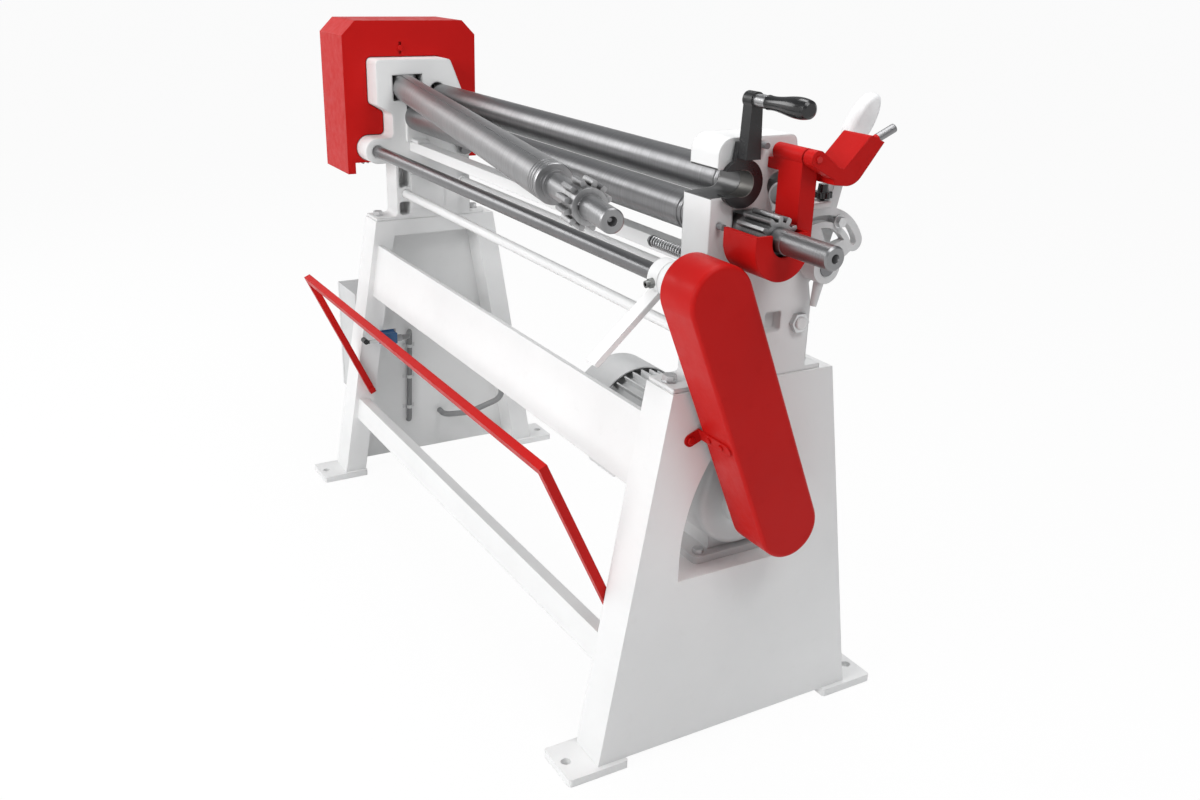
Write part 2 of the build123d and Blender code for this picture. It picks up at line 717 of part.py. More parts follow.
with BuildPart() as tie_rod_nuts:
    with BuildSketch(Plane.YZ.offset(house_outer)):
        with Locations(tie_front):
            RegularPolygon(15, 6)
            Circle(tie_front_r + run_fit, mode=Mode.SUBTRACT)
        with Locations(tie_back):
            RegularPolygon(18, 6)
            Circle(tie_back_r + run_fit, mode=Mode.SUBTRACT)
    extrude(amount=10)
    mirror(about=Plane.YZ)
tie_rod_nuts.part.label = "tie_rod_nuts"
export_step(tie_rod_nuts.part, "parts/tie_rod_nuts.step")

# Bronze bushes of the drive shaft in both housings
with BuildPart() as shaft_bushes:
    with BuildSketch(square_plane(boss_left + bush_lip, shaft_y, shaft_z)):
        Circle(bush_r)
        Circle(shaft_r + run_fit, mode=Mode.SUBTRACT)
    extrude(amount=house_outer - boss_left - bush_lip)
    with BuildSketch(square_plane(-house_outer, shaft_y, shaft_z)):
        Circle(bush_r)
        Circle(shaft_r + run_fit, mode=Mode.SUBTRACT)
    extrude(amount=house_t - bush_lip)
shaft_bushes.part.label = "shaft_bushes"
export_step(shaft_bushes.part, "parts/shaft_bushes.step")

# Bracket that carries the bull gear's shaft outside the left housing
bracket_left = gear_left - 28
bracket_t = 16.0
with BuildPart() as gear_bracket:
    with BuildSketch(Plane.YZ.offset(bracket_left)):
        add(hull_face((top_y, top_z, 34), (-60, 876, 18), (30, 905, 18), (62, 955, 16)))
        with Locations((top_y, top_z)):
            Circle(fork_r + run_fit, mode=Mode.SUBTRACT)
    extrude(amount=bracket_t)
    with BuildSketch(Plane.YZ.offset(bracket_left + bracket_t)):
        with Locations((-60, 876), (30, 905), (62, 955)):
            Circle(10)
    extrude(amount=-house_outer - bracket_left - bracket_t)
    with BuildSketch(square_plane(-house_outer, top_y, top_z)):
        Circle(40)
        Circle(fork_r + run_fit, mode=Mode.SUBTRACT)
    extrude(amount=-12)
gear_bracket.part.label = "gear_bracket"
export_step(gear_bracket.part, "parts/gear_bracket.step")

pin_low = top_z - drum_h / 2 - low_raised_z - neck_r - 2 * air_gap

# Pins of the swing drum, stop pins of the lock lever and the guard's hinge pin
with BuildPart() as housing_pins:
    with BuildSketch(Plane(origin=swing_axis.position, x_dir=(1, 0, 0), z_dir=swing_dir).offset(drum_h / 2 - swing_pin_seat)):
        Circle(swing_pin_r)
    extrude(amount=swing_pin_seat + 22)
    with BuildSketch(Plane(origin=swing_axis.position, x_dir=(1, 0, 0), z_dir=swing_dir).offset(swing_pin_seat - drum_h / 2)):
        Circle(swing_pin_r)
    extrude(amount=-swing_pin_seat - pin_low)
    with BuildSketch(Plane.YZ.offset(house_outer - 20)):
        with Locations((-23, 1087), (-95, 967)):
            Circle(5)
    extrude(amount=34)
    with BuildSketch(square_plane(head_left - 2, hinge_y, hinge_z)):
        Circle(hinge_pin_r)
    extrude(amount=guard_right + 2 - head_left)
housing_pins.part.label = "housing_pins"
export_step(housing_pins.part, "parts/housing_pins.step")

# Drum that carries the top roll's left neck and turns on the pins
drum_plane = Plane(origin=swing_axis.position, x_dir=swung_plane(0).z_dir, z_dir=swing_dir)
with BuildPart() as swing_drum:
    with BuildSketch(drum_plane.offset(-drum_h / 2)):
        Circle(drum_r)
    extrude(amount=drum_h)
    with BuildSketch(drum_plane.offset(-drum_h / 2)):
        Circle(swing_pin_r + run_fit)
    extrude(amount=swing_pin_seat + slide_gap, mode=Mode.SUBTRACT)
    with BuildSketch(drum_plane.offset(drum_h / 2)):
        Circle(swing_pin_r + run_fit)
    extrude(amount=-swing_pin_seat - slide_gap, mode=Mode.SUBTRACT)
    with BuildSketch(swung_plane(0)):
        Circle(neck_r + 1 + run_fit)
    extrude(amount=drum_r + 4, mode=Mode.SUBTRACT)
    with BuildSketch(swung_plane(0)):
        Rectangle(2 * 28.5, 2 * (fork_r + 1.5))
    extrude(amount=-drum_r - 4, mode=Mode.SUBTRACT)
    with BuildSketch(drum_plane):
        Circle(drum_cavity_r)
    extrude(amount=fork_r + 2, both=True, mode=Mode.SUBTRACT)
swing_drum.part.label = "swing_drum"
export_step(swing_drum.part, "parts/swing_drum.step")

# Top roll: body, wire grooves, necks, tongue at the pivot, gear seat and centre hole
def reach(x):
    """Distance along the top roll from the swing pivot."""
    return x - pivot_x


top_ring = top_gear_left + top_gear_face + ring_t
top_end = top_ring + 91
top_tail_r = 17.5
with BuildPart() as top_roll:
    with BuildSketch(drum_plane):
        with BuildLine():
            Polyline((tongue_reach + 5, 0), (tongue_reach + 5, neck_r + 1), (reach(roll_left), neck_r + 1),
                     (reach(roll_left), roll_r - 1.5), (reach(roll_left) + 1.5, roll_r),
                     (reach(roll_right) - 1.5, roll_r), (reach(roll_right), roll_r - 1.5),
                     (reach(roll_right), neck_r + 4), (reach(roll_right) + 14, neck_r + 4),
                     (reach(roll_right) + 14, neck_r), (reach(top_ring), neck_r), (reach(top_ring), top_tail_r),
                     (reach(top_end) - 2, top_tail_r), (reach(top_end), top_tail_r - 2),
                     (reach(top_end), 7), (reach(top_end) - 10, 3), (reach(top_end) - 10, 0), close=True)
        make_face()
        for ring in range(3):
            with Locations((reach(groove_first + ring * groove_pitch), roll_r)):
                Circle(groove_r, mode=Mode.SUBTRACT)
    revolve(axis=Axis(drum_plane.origin, drum_plane.x_dir))
    with BuildSketch(swung_plane(-tongue_reach)):
        Circle(tongue_w / 2)
        Rectangle(tongue_w, tongue_t, mode=Mode.INTERSECT)
    extrude(amount=2 * tongue_reach + 6)
    with BuildSketch(swung_plane(reach(roll_left))):
        with Locations((-roll_r * sin(radians(seam_turn)), roll_r * cos(radians(seam_turn)))):
            Rectangle(seam_w, 2 * seam_deep, rotation=seam_turn)
    extrude(amount=roll_right - roll_left, mode=Mode.SUBTRACT)
    with BuildSketch(swung_plane(reach(top_gear_left))):
        with Locations((-neck_r, 0)):
            Rectangle(6, 7)
    extrude(amount=top_gear_face + ring_t + 4, mode=Mode.SUBTRACT)
top_roll.part.label = "top_roll"
export_step(top_roll.part, "parts/top_roll.step")

# Gear of the top roll with its collar and key
mesh_turn = degrees(atan2(low_raised_z - top_z, low_y - top_y))
with BuildPart() as top_roll_gear:
    with BuildSketch(swung_plane(reach(top_gear_left))):
        add(gear_face(nip_teeth, nip_pitch_r, nip_tip_r, nip_root_r, nip_pressure, nip_backlash, mesh_turn))
        Circle(neck_r + run_fit, mode=Mode.SUBTRACT)
    extrude(amount=top_gear_face)
    with BuildSketch(swung_plane(reach(top_gear_left + top_gear_face))):
        Circle(collar_r)
        Circle(neck_r + run_fit, mode=Mode.SUBTRACT)
    extrude(amount=ring_t)
    with BuildSketch(swung_plane(reach(top_gear_left))):
        with Locations((-neck_r, 0)):
            Rectangle(5.8, 6.8)
    extrude(amount=top_gear_face + ring_t)
top_roll_gear.part.label = "top_roll_gear"
export_step(top_roll_gear.part, "parts/top_roll_gear.step")

# Lower roll with its long right shaft end
low_end = house_outer + 220.0
low_tail = guard_right + 8
low_tail_r = 18.5
with BuildPart() as lower_roll:
    with BuildSketch(Plane(origin=(0, low_y, low_z), x_dir=(1, 0, 0), z_dir=(0, -1, 0))):
        with BuildLine():
            Polyline((-house_outer + 18, 0), (-house_outer + 18, neck_r), (roll_left, neck_r), (roll_left, roll_r - 1.5),
                     (roll_left + 1.5, roll_r), (roll_right - 1.5, roll_r), (roll_right, roll_r - 1.5),
                     (roll_right, neck_r), (low_tail, neck_r), (low_tail, low_tail_r), (low_end - 3, low_tail_r),
                     (low_end, low_tail_r - 3), (low_end, 7), (low_end - 11, 3), (low_end - 11, 0), close=True)
        make_face()
        for ring in range(3):
            with Locations((groove_first + ring * groove_pitch, roll_r)):
                Circle(groove_r, mode=Mode.SUBTRACT)
    revolve(axis=Axis((0, low_y, low_z), (1, 0, 0)))
lower_roll.part.label = "lower_roll"
export_step(lower_roll.part, "parts/lower_roll.step")

with BuildPart() as lower_roll_gear:
    with BuildSketch(square_plane(low_gear_left, low_y, low_z)):
        add(gear_face(nip_teeth, nip_pitch_r, nip_tip_r, nip_root_r, nip_pressure, nip_backlash,
                      mesh_turn + 180 + 180 / nip_teeth))
        Circle(neck_r + run_fit, mode=Mode.SUBTRACT)
    extrude(amount=low_gear_face)
    with BuildSketch(square_plane(low_gear_left - ring_t, low_y, low_z)):
        Circle(collar_r)
        Circle(neck_r + run_fit, mode=Mode.SUBTRACT)
    extrude(amount=ring_t)
lower_roll_gear.part.label = "lower_roll_gear"
export_step(lower_roll_gear.part, "parts/lower_roll_gear.step")

# Carriage under the lower roll: flat bar and bearing brackets with shoes in the housing slots
bar_low = 875.0
bar_high = 900.0
bar_front = -65.0
bar_back = -33.0
bar_end = house_inner - slide_gap
bracket_in = house_inner - 14.0
with BuildPart() as carriage_bar:
    with Locations((0, (bar_front + bar_back) / 2, (bar_low + bar_high) / 2)):
        Box(2 * bar_end, bar_back - bar_front, bar_high - bar_low)
    chamfer(carriage_bar.edges().filter_by(Axis.X), 1)
carriage_bar.part.label = "carriage_bar"
export_step(carriage_bar.part, "parts/carriage_bar.step")

with BuildPart() as carriage_bearings:
    with BuildSketch(Plane.YZ.offset(bracket_in)):
        with Locations((low_y, (bar_high + low_z) / 2)):
            Rectangle(52, low_z - bar_high)
        with Locations((low_y, low_z)):
            Circle(26)
            Circle(neck_r + run_fit, mode=Mode.SUBTRACT)
    extrude(amount=bar_end - bracket_in)
    with BuildSketch(Plane.YZ.offset(bracket_in + 4)):
        with Locations((low_y, low_z - 31)):
            Rectangle(2 * neck_r, 28, align=(Align.CENTER, Align.MIN))
        with Locations((low_y, low_z)):
            Circle(neck_r + run_fit, mode=Mode.SUBTRACT)
    extrude(amount=house_outer - 14 - bracket_in - 4)
    with BuildSketch(Plane.XY.offset(bar_high)):
        with Locations((bracket_in - 20, (bar_front + bar_back) / 2)):
            Rectangle(44, bar_back - bar_front)
    extrude(amount=8)
    mirror(about=Plane.YZ)
carriage_bearings.part.label = "carriage_bearings"
export_step(carriage_bearings.part, "parts/carriage_bearings.step")

# Jack screws under the shoes, heads in the pockets
jack_head = 778.0
with BuildPart() as left_jack_screw:
    with BuildSketch(Plane.XY.offset(jack_head)):
        with Locations((-house_mid, jack_y)):
            RegularPolygon(12, 6)
    extrude(amount=11)
    with BuildSketch(Plane.XY.offset(jack_head + 11)):
        with Locations((-house_mid, jack_y)):
            Circle(jack_r)
    extrude(amount=low_z - 31 - jack_head - 11)
left_jack_screw.part.label = "left_jack_screw"
export_step(left_jack_screw.part, "parts/left_jack_screw.step")

with BuildPart() as right_jack_screw:
    with BuildSketch(Plane.XY.offset(jack_head)):
        with Locations((house_mid, jack_y)):
            RegularPolygon(12, 6)
    extrude(amount=11)
    with BuildSketch(Plane.XY.offset(jack_head + 11)):
        with Locations((house_mid, jack_y)):
            Circle(jack_r)
    extrude(amount=low_z - 31 - jack_head - 11)
right_jack_screw.part.label = "right_jack_screw"
export_step(right_jack_screw.part, "parts/right_jack_screw.step")

# Rear roll and its two bearing slides with the lift links
rear_neck_end = house_outer - 14
with BuildPart() as rear_roll:
    with BuildSketch(Plane(origin=(0, rear_y, rear_z), x_dir=(1, 0, 0), z_dir=(0, -1, 0))):
        with BuildLine():
            Polyline((-rear_neck_end, 0), (-rear_neck_end, rear_neck_r), (roll_left, rear_neck_r),
                     (roll_left, roll_r - 1.5), (roll_left + 1.5, roll_r), (roll_right - 1.5, roll_r),
                     (roll_right, roll_r - 1.5), (roll_right, rear_neck_r), (rear_neck_end, rear_neck_r),
                     (rear_neck_end, 0), close=True)
        make_face()
        for ring in range(3):
            with Locations((groove_first + ring * groove_pitch, roll_r)):
                Circle(groove_r, mode=Mode.SUBTRACT)
    revolve(axis=Axis((0, rear_y, rear_z), (1, 0, 0)))
rear_roll.part.label = "rear_roll"
export_step(rear_roll.part, "parts/rear_roll.step")

link_in = house_inner - 14.0
with BuildPart() as rear_slides:
    with BuildSketch(Plane.YZ.offset(link_in)):
        add(hull_face((rear_y, rear_z, slide_w / 2), (*rear_point(slide_foot, slide_w / 2 - slide_round), slide_round),
                      (*rear_point(slide_foot, slide_round - slide_w / 2), slide_round)))
        with Locations((rear_y, rear_z)):
            Circle(rear_neck_r + run_fit, mode=Mode.SUBTRACT)
    extrude(amount=house_outer - 4 - link_in)
    with BuildSketch(Plane.YZ.offset(link_in)):
        Polygon(rear_point(-slide_l / 2, link_w / 2), rear_point(-slide_l / 2, -link_w / 2),
                rear_point(-pin_reach, -link_w / 2), rear_point(-pin_reach, link_w / 2), align=None)
        with Locations(rear_point(-pin_reach, 0)):
            Circle(link_w / 2 + 0.5)
        add(hull_face((*rear_point(-pin_reach, 0), crank_pin_r + 0.45),
                      (*rear_point(-pin_reach, pin_play), crank_pin_r + 0.45)), mode=Mode.SUBTRACT)
    extrude(amount=link_t)
    mirror(about=Plane.YZ)
rear_slides.part.label = "rear_slides"
export_step(rear_slides.part, "parts/rear_slides.step")

# Adjuster shaft with its two cranks
crank_in = link_in - 2 - crank_t
with BuildPart() as adjuster_shaft:
    with BuildSketch(square_plane(-house_outer + 44, adjust_y, adjust_z)):
        Circle(adjust_r)
    extrude(amount=house_outer - 44 + quad_left + quad_t + 22)
    with BuildSketch(Plane.YZ.offset(crank_in)):
        add(hull_face((adjust_y, adjust_z, adjust_r + 6), (pin_y, pin_z, crank_pin_r + 4)))
    extrude(amount=crank_t)
    with BuildSketch(Plane.YZ.offset(-crank_in - crank_t)):
        add(hull_face((adjust_y, adjust_z, adjust_r + 6), (pin_y, pin_z, crank_pin_r + 4)))
    extrude(amount=crank_t)
    with BuildSketch(square_plane(crank_in, pin_y, pin_z)):
        Circle(crank_pin_r)
    extrude(amount=crank_t + link_t + 1)
    with BuildSketch(square_plane(-crank_in, pin_y, pin_z)):
        Circle(crank_pin_r)
    extrude(amount=-crank_t - link_t - 1)
adjuster_shaft.part.label = "adjuster_shaft"
export_step(adjuster_shaft.part, "parts/adjuster_shaft.step")

# Quadrant lever with its arc slot, spokes, bent arm and tapered finger
quad_plane = square_plane(quad_left, adjust_y, adjust_z)
slot_first = clamp_turn - slot_half_turn
slot_last = clamp_turn + slot_half_turn
with BuildPart() as quadrant_lever:
    with BuildSketch(quad_plane):
        with BuildLine(mode=Mode.PRIVATE) as band_path:
            CenterArc((0, 0), (quad_r + quad_inner_r) / 2, slot_first, slot_last - slot_first)
        SlotArc(band_path.line.edge(), quad_r - quad_inner_r)
        for turn in (slot_first, slot_last):
            add(hull_face((0, 0, 24), ((quad_inner_r + 4) * cos(radians(turn)), (quad_inner_r + 4) * sin(radians(turn)), 12)))
        Circle(27)
        add(hull_face((arm_foot[0] - adjust_y, arm_foot[1] - adjust_z, arm_half),
                      (arm_bend[0] - adjust_y, arm_bend[1] - adjust_z, arm_half)))
        add(hull_face((arm_bend[0] - adjust_y, arm_bend[1] - adjust_z, arm_half),
                      (arm_tip[0] - adjust_y, arm_tip[1] - adjust_z, arm_half)))
        with BuildLine(mode=Mode.PRIVATE) as slot_path:
            CenterArc((0, 0), quad_slot_r, slot_first, slot_last - slot_first)
        SlotArc(slot_path.line.edge(), quad_slot_w + 1, mode=Mode.SUBTRACT)
        Circle(adjust_r + 0.02, mode=Mode.SUBTRACT)
    extrude(amount=quad_t)
    with BuildSketch(quad_plane.offset(quad_t)):
        Circle(27)
        Circle(adjust_r + 0.02, mode=Mode.SUBTRACT)
    extrude(amount=20)
    with BuildSketch(Plane(origin=(quad_left + quad_t + 9, adjust_y - 3.7, adjust_z - 20), x_dir=(1, 0, 0),
                           z_dir=(0, -0.18, -0.984))):
        Circle(9)
    extrude(amount=46, taper=4)
quadrant_lever.part.label = "quadrant_lever"
export_step(quadrant_lever.part, "parts/quadrant_lever.step")

with BuildPart() as lever_handle:
    with BuildSketch(square_plane(quad_left + quad_t / 2 - handle_t / 2, *handle_mid)):
        Ellipse(handle_l / 2, handle_w / 2, rotation=handle_turn)
    extrude(amount=handle_t)
    fillet(lever_handle.edges(), 9)
    with BuildSketch(quad_plane):
        add(hull_face((arm_foot[0] - adjust_y, arm_foot[1] - adjust_z, arm_half),
                      (arm_bend[0] - adjust_y, arm_bend[1] - adjust_z, arm_half)))
        add(hull_face((arm_bend[0] - adjust_y, arm_bend[1] - adjust_z, arm_half),
                      (arm_tip[0] - adjust_y, arm_tip[1] - adjust_z, arm_half)))
    extrude(amount=quad_t, mode=Mode.SUBTRACT)
lever_handle.part.label = "lever_handle"
export_step(lever_handle.part, "parts/lever_handle.step")

# Clamp bolt through the arc slot
with BuildPart() as clamp_bolt:
    with BuildSketch(square_plane(house_outer - 20, clamp_y, clamp_z)):
        Circle(5)
    extrude(amount=quad_left + quad_t + 3 - house_outer + 20)
    with BuildSketch(square_plane(quad_left + quad_t + 0.5, clamp_y, clamp_z)):
        Circle(11)
    extrude(amount=2.5)
    with BuildSketch(square_plane(quad_left + quad_t + 3, clamp_y, clamp_z)):
        RegularPolygon(9, 6)
    extrude(amount=8)
clamp_bolt.part.label = "clamp_bolt"
export_step(clamp_bolt.part, "parts/clamp_bolt.step")

# Star knob on its stud
with BuildPart() as star_knob:
    with BuildSketch(Plane.XY.offset(1001)):
        with Locations((house_outer + 20, 90)):
            Circle(12)
            with PolarLocations(11.5, 6):
                Circle(4.2)
    extrude(amount=10)
    fillet(star_knob.edges().group_by(Axis.Z)[-1], 1.5)
    with BuildSketch(Plane.XY.offset(1011)):
        with Locations((house_outer + 20, 90)):
            Circle(9)
    extrude(amount=12, taper=6)
    with BuildSketch(Plane.XY.offset(987)):
        with Locations((house_outer + 20, 90)):
            Circle(4)
    extrude(amount=14)
star_knob.part.label = "star_knob"
export_step(star_knob.part, "parts/star_knob.step")

# Lock lever: open hub round the top roll's closed neck, arm and spindle
with BuildPart() as lock_lever:
    with BuildSketch(square_plane(lock_left, top_y, top_z)):
        Circle(lock_r)
        Circle(neck_r + lock_slot_gap, mode=Mode.SUBTRACT)
        with Locations((-lock_r, 0)):
            Rectangle(2 * lock_r, 2 * (neck_r + lock_slot_gap), mode=Mode.SUBTRACT)
    extrude(amount=lock_t)
    with BuildSketch(square_plane(lock_left, top_y, top_z)):
        Polygon((-17, neck_r + 8), (17, neck_r + 8), (12.3, lock_reach / 2), (-12.3, lock_reach / 2), align=None)
    extrude(amount=lock_t)
    with BuildSketch(square_plane(lock_left + lock_t, top_y, top_z)):
        Polygon((-13.6, nip_tip_r + 3), (13.6, nip_tip_r + 3), (9.5, lock_reach), (-9.5, lock_reach), align=None)
        with Locations((0, lock_reach)):
            Circle(12.5)
    extrude(amount=lock_arm_t)
    with BuildSketch(square_plane(house_outer - lock_spigot, top_y, top_z)):
        Circle(lock_spigot_r)
        Circle(neck_r + lock_slot_gap, mode=Mode.SUBTRACT)
        with Locations((-lock_r, 0)):
            Rectangle(2 * lock_r, 2 * (neck_r + lock_slot_gap), mode=Mode.SUBTRACT)
    extrude(amount=lock_left - house_outer + lock_spigot)
    with BuildSketch(square_plane(lock_left + lock_t, top_y, top_z + lock_reach)):
        Circle(spindle_r)
    extrude(amount=grip_right - 4 - lock_left - lock_t)
    with BuildSketch(square_plane(lock_left + lock_t, top_y, top_z + lock_reach)):
        Circle(spindle_r + 3)
    extrude(amount=grip_left - slide_gap - lock_left - lock_t)
lock_lever.part.label = "lock_lever"
export_step(lock_lever.part, "parts/lock_lever.step")

with BuildPart() as lock_grip:
    with BuildSketch(Plane(origin=(grip_left, top_y, top_z + lock_reach), x_dir=(1, 0, 0), z_dir=(0, -1, 0))):
        grip_l = grip_right - grip_left
        with BuildLine():
            Polyline((0, spindle_r + run_fit), (0, 10), (2, 11))
            Spline((2, 11), (grip_l * 0.45, 13), (grip_l - 14, 15), (grip_l - 3, 13))
            Polyline((grip_l - 3, 13), (grip_l, 9), (grip_l, 0), (grip_l - 3.5, 0), (grip_l - 3.5, spindle_r + run_fit),
                     (0, spindle_r + run_fit))
        make_face()
    revolve(axis=Axis((grip_left, top_y, top_z + lock_reach), (1, 0, 0)))
lock_grip.part.label = "lock_grip"
export_step(lock_grip.part, "parts/lock_grip.step")

# Lower guard: cast J round the lower gear, with feet on the housing and hinge knuckles
guard_mid = (guard_front + guard_back + guard_wall) / 2
guard_half = (guard_back + guard_wall - guard_front) / 2
with BuildPart() as lower_guard:
    with BuildSketch(Plane.YZ.offset(guard_left)):
        with Locations((guard_mid, (guard_low + guard_front_top) / 2)):
            Rectangle(2 * guard_half, guard_front_top - guard_low)
        with Locations((guard_mid, guard_low + guard_half)):
            Circle(guard_half, mode=Mode.INTERSECT)
        with Locations((guard_mid, (guard_low + guard_half + guard_front_top) / 2)):
            Rectangle(2 * guard_half, guard_front_top - guard_low - guard_half)
        with Locations((guard_mid, guard_low + guard_half)):
            Circle(guard_half - guard_wall, mode=Mode.SUBTRACT)
        with Locations((guard_mid, guard_low + guard_half + 50)):
            Rectangle(2 * (guard_half - guard_wall), 100, mode=Mode.SUBTRACT)
    extrude(amount=guard_right - guard_left)
    with BuildSketch(Plane.YZ.offset(guard_right - 6)):
        with Locations((guard_mid, guard_low + guard_half)):
            Circle(guard_half)
        with Locations((guard_mid, (guard_low + guard_half + low_raised_z) / 2)):
            Rectangle(2 * guard_half, low_raised_z - guard_low - guard_half)
        with Locations((low_y, low_z)):
            Circle(neck_r + 5, mode=Mode.SUBTRACT)
        with Locations((low_y, low_z + 40)):
            Rectangle(2 * (neck_r + 5), 80, mode=Mode.SUBTRACT)
        with Locations((guard_mid, guard_front_top + 50)):
            Rectangle(2 * guard_half + 2, 100, mode=Mode.SUBTRACT)
    extrude(amount=6)
    with BuildSketch(Plane.XY.offset(930)):
        with Locations(((arm_left + arm_right) / 2, guard_back + arm_thick / 2)):
            Rectangle(arm_right - arm_left, arm_thick)
    extrude(amount=head_low - 930)
    with BuildSketch(Plane.XY.offset(head_low)):
        with Locations(((head_left + arm_right) / 2, guard_back + arm_thick / 2)):
            Rectangle(arm_right - head_left, arm_thick)
    extrude(amount=hinge_z - 8 - head_low)
    with BuildSketch(Plane.YZ.offset(house_outer)):
        with Locations((guard_back + arm_thick / 2, 928)):
            Rectangle(arm_thick, 30)
    extrude(amount=arm_left - house_outer + 4)
    with BuildSketch(Plane.YZ.offset(house_outer)):
        with Locations((guard_back + arm_thick / 2, head_low + 8)):
            Rectangle(arm_thick, 16)
    extrude(amount=head_left - house_outer + 4)
    with BuildSketch(square_plane(head_left, hinge_y, hinge_z)):
        Circle(hinge_r)
    extrude(amount=arm_right - head_left)
    with BuildSketch(square_plane(head_left - 4, hinge_y, hinge_z)):
        Circle(hinge_pin_r + run_fit)
    extrude(amount=200, mode=Mode.SUBTRACT)
lower_guard.part.label = "lower_guard"
export_step(lower_guard.part, "parts/lower_guard.step")

# Upper guard, thrown back, with its steel handle rod
flap_left = guard_left + 18.0
with BuildPart() as upper_guard:
    with BuildSketch(Plane.YZ.offset(flap_left)) as flap:
        with BuildLine():
            Polyline((35, 1066), (52, 1062), (100, 1110), (127, 1098), (76, 1034), (35, 1039), close=True)
        make_face()
        fillet(flap.vertices().sort_by(Axis.Y)[0], 34)
        fillet(flap.vertices().sort_by(Axis.Y)[-1], 5)
    extrude(amount=guard_right - flap_left - 2)
    with BuildSketch(Plane.YZ.offset(arm_right + 3)):
        add(hull_face((hinge_y, hinge_z, hinge_r), (44, 1052, 9)))
        with Locations((hinge_y, hinge_z)):
            Circle(hinge_pin_r + run_fit, mode=Mode.SUBTRACT)
    extrude(amount=guard_right - 2 - arm_right - 3)
    with BuildSketch(Plane(origin=(guard_right - 10, 106, 1098), x_dir=(1, 0, 0), z_dir=(0, 0.918, 0.395))):
        Circle(7)
    extrude(amount=48)
    with BuildSketch(square_plane(arm_left - 20, hinge_y, hinge_z)):
        Circle(hinge_r + air_gap)
    extrude(amount=arm_right + 3 - arm_left + 20, mode=Mode.SUBTRACT)
    with BuildSketch(square_plane(arm_left - 20, hinge_y, hinge_z)):
        Circle(hinge_pin_r + run_fit)
    extrude(amount=200, mode=Mode.SUBTRACT)
upper_guard.part.label = "upper_guard"
export_step(upper_guard.part, "parts/upper_guard.step")

# Drive shaft along the front
shaft_left = gear_left - 12
shaft_right = chain_x + 26
with BuildPart() as drive_shaft:
    with BuildSketch(square_plane(shaft_left, shaft_y, shaft_z)):
        Circle(shaft_r)
    extrude(amount=shaft_right - shaft_left)
    chamfer(drive_shaft.edges().filter_by(GeomType.CIRCLE), 1.5)
drive_shaft.part.label = "drive_shaft"
export_step(drive_shaft.part, "parts/drive_shaft.step")

gear_turn = degrees(atan2(shaft_z - top_z, shaft_y - top_y))
with BuildPart() as pinion:
    with BuildSketch(square_plane(gear_left, shaft_y, shaft_z)):
        add(gear_face(pinion_teeth, pinion_r, pinion_r + 0.9 * drive_module, pinion_r - 1.2 * drive_module, 20, 0.3,
                      gear_turn + 180 + 180 / pinion_teeth))
        Circle(shaft_r + 0.02, mode=Mode.SUBTRACT)
    extrude(amount=gear_face_w)
    with BuildSketch(square_plane(gear_left + gear_face_w, shaft_y, shaft_z)):
        Circle(24)
        Circle(shaft_r + 0.02, mode=Mode.SUBTRACT)
    extrude(amount=14)
pinion.part.label = "pinion"
export_step(pinion.part, "parts/pinion.step")

# Bull gear with its shaft and the fork at the swing pivot
with BuildPart() as bull_gear:
    with BuildSketch(square_plane(gear_left, top_y, top_z)):
        add(gear_face(bull_teeth, bull_r, bull_r + 0.9 * drive_module, bull_r - 1.2 * drive_module, 20, 0.3, gear_turn))
    extrude(amount=gear_face_w)
    with BuildSketch(square_plane(gear_left, top_y, top_z)):
        Circle(bull_r - 16)
        Circle(44, mode=Mode.SUBTRACT)
    extrude(amount=11, mode=Mode.SUBTRACT)
    with BuildSketch(square_plane(gear_left + gear_face_w, top_y, top_z)):
        Circle(bull_r - 16)
        Circle(44, mode=Mode.SUBTRACT)
    extrude(amount=-11, mode=Mode.SUBTRACT)
    with BuildSketch(square_plane(gear_left, top_y, top_z)):
        with PolarLocations(80, 5):
            Circle(17)
    extrude(amount=gear_face_w, mode=Mode.SUBTRACT)
    with BuildSketch(square_plane(bracket_left - 4, top_y, top_z)):
        Circle(fork_r)
    extrude(amount=pivot_x + tongue_reach - bracket_left + 4)
    with BuildSketch(square_plane(pivot_x - fork_deep, top_y, top_z)):
        Rectangle(2 * fork_r + 2, tongue_t + 2 * fork_gap)
    extrude(amount=fork_deep + tongue_reach, mode=Mode.SUBTRACT)
bull_gear.part.label = "bull_gear"
export_step(bull_gear.part, "parts/bull_gear.step")

# Sheet cover over the left gears
box_outline = [(box_front, box_tab_low), (box_front + box_tab_w, box_tab_low), (box_front + box_tab_w, box_low),
               (box_back, box_low), (box_back, box_top - box_chamfer), (box_back - box_chamfer, box_top),
               (box_front + box_chamfer, box_top), (box_front, box_top - box_chamfer)]
with BuildPart() as left_gear_cover:
    with BuildSketch(Plane.YZ.offset(box_far)):
        Polygon(*box_outline, align=None)
    extrude(amount=box_near - box_far)
    with BuildSketch(Plane.YZ.offset(box_far + box_wall)):
        Polygon((box_front + box_wall, box_low), (box_back - box_wall, box_low),
                (box_back - box_wall, box_top - box_chamfer - box_wall * 0.4),
                (box_back - box_chamfer - box_wall * 0.4, box_top - box_wall),
                (box_front + box_chamfer + box_wall * 0.4, box_top - box_wall),
                (box_front + box_wall, box_top - box_chamfer - box_wall * 0.4), align=None)
    extrude(amount=box_near - box_far - 2 * box_wall, mode=Mode.SUBTRACT)
    with BuildSketch(Plane.YZ.offset(box_near)):
        offset(left_face.sketch_local, amount=2)
    extrude(amount=-box_wall, mode=Mode.SUBTRACT)
    with BuildSketch(Plane.YZ.offset(box_near)):
        with Locations((-57, 1122)):
            SlotOverall(30, 7, rotation=90)
    extrude(amount=-box_wall, mode=Mode.SUBTRACT)
left_gear_cover.part.label = "left_gear_cover"
export_step(left_gear_cover.part, "parts/left_gear_cover.step")

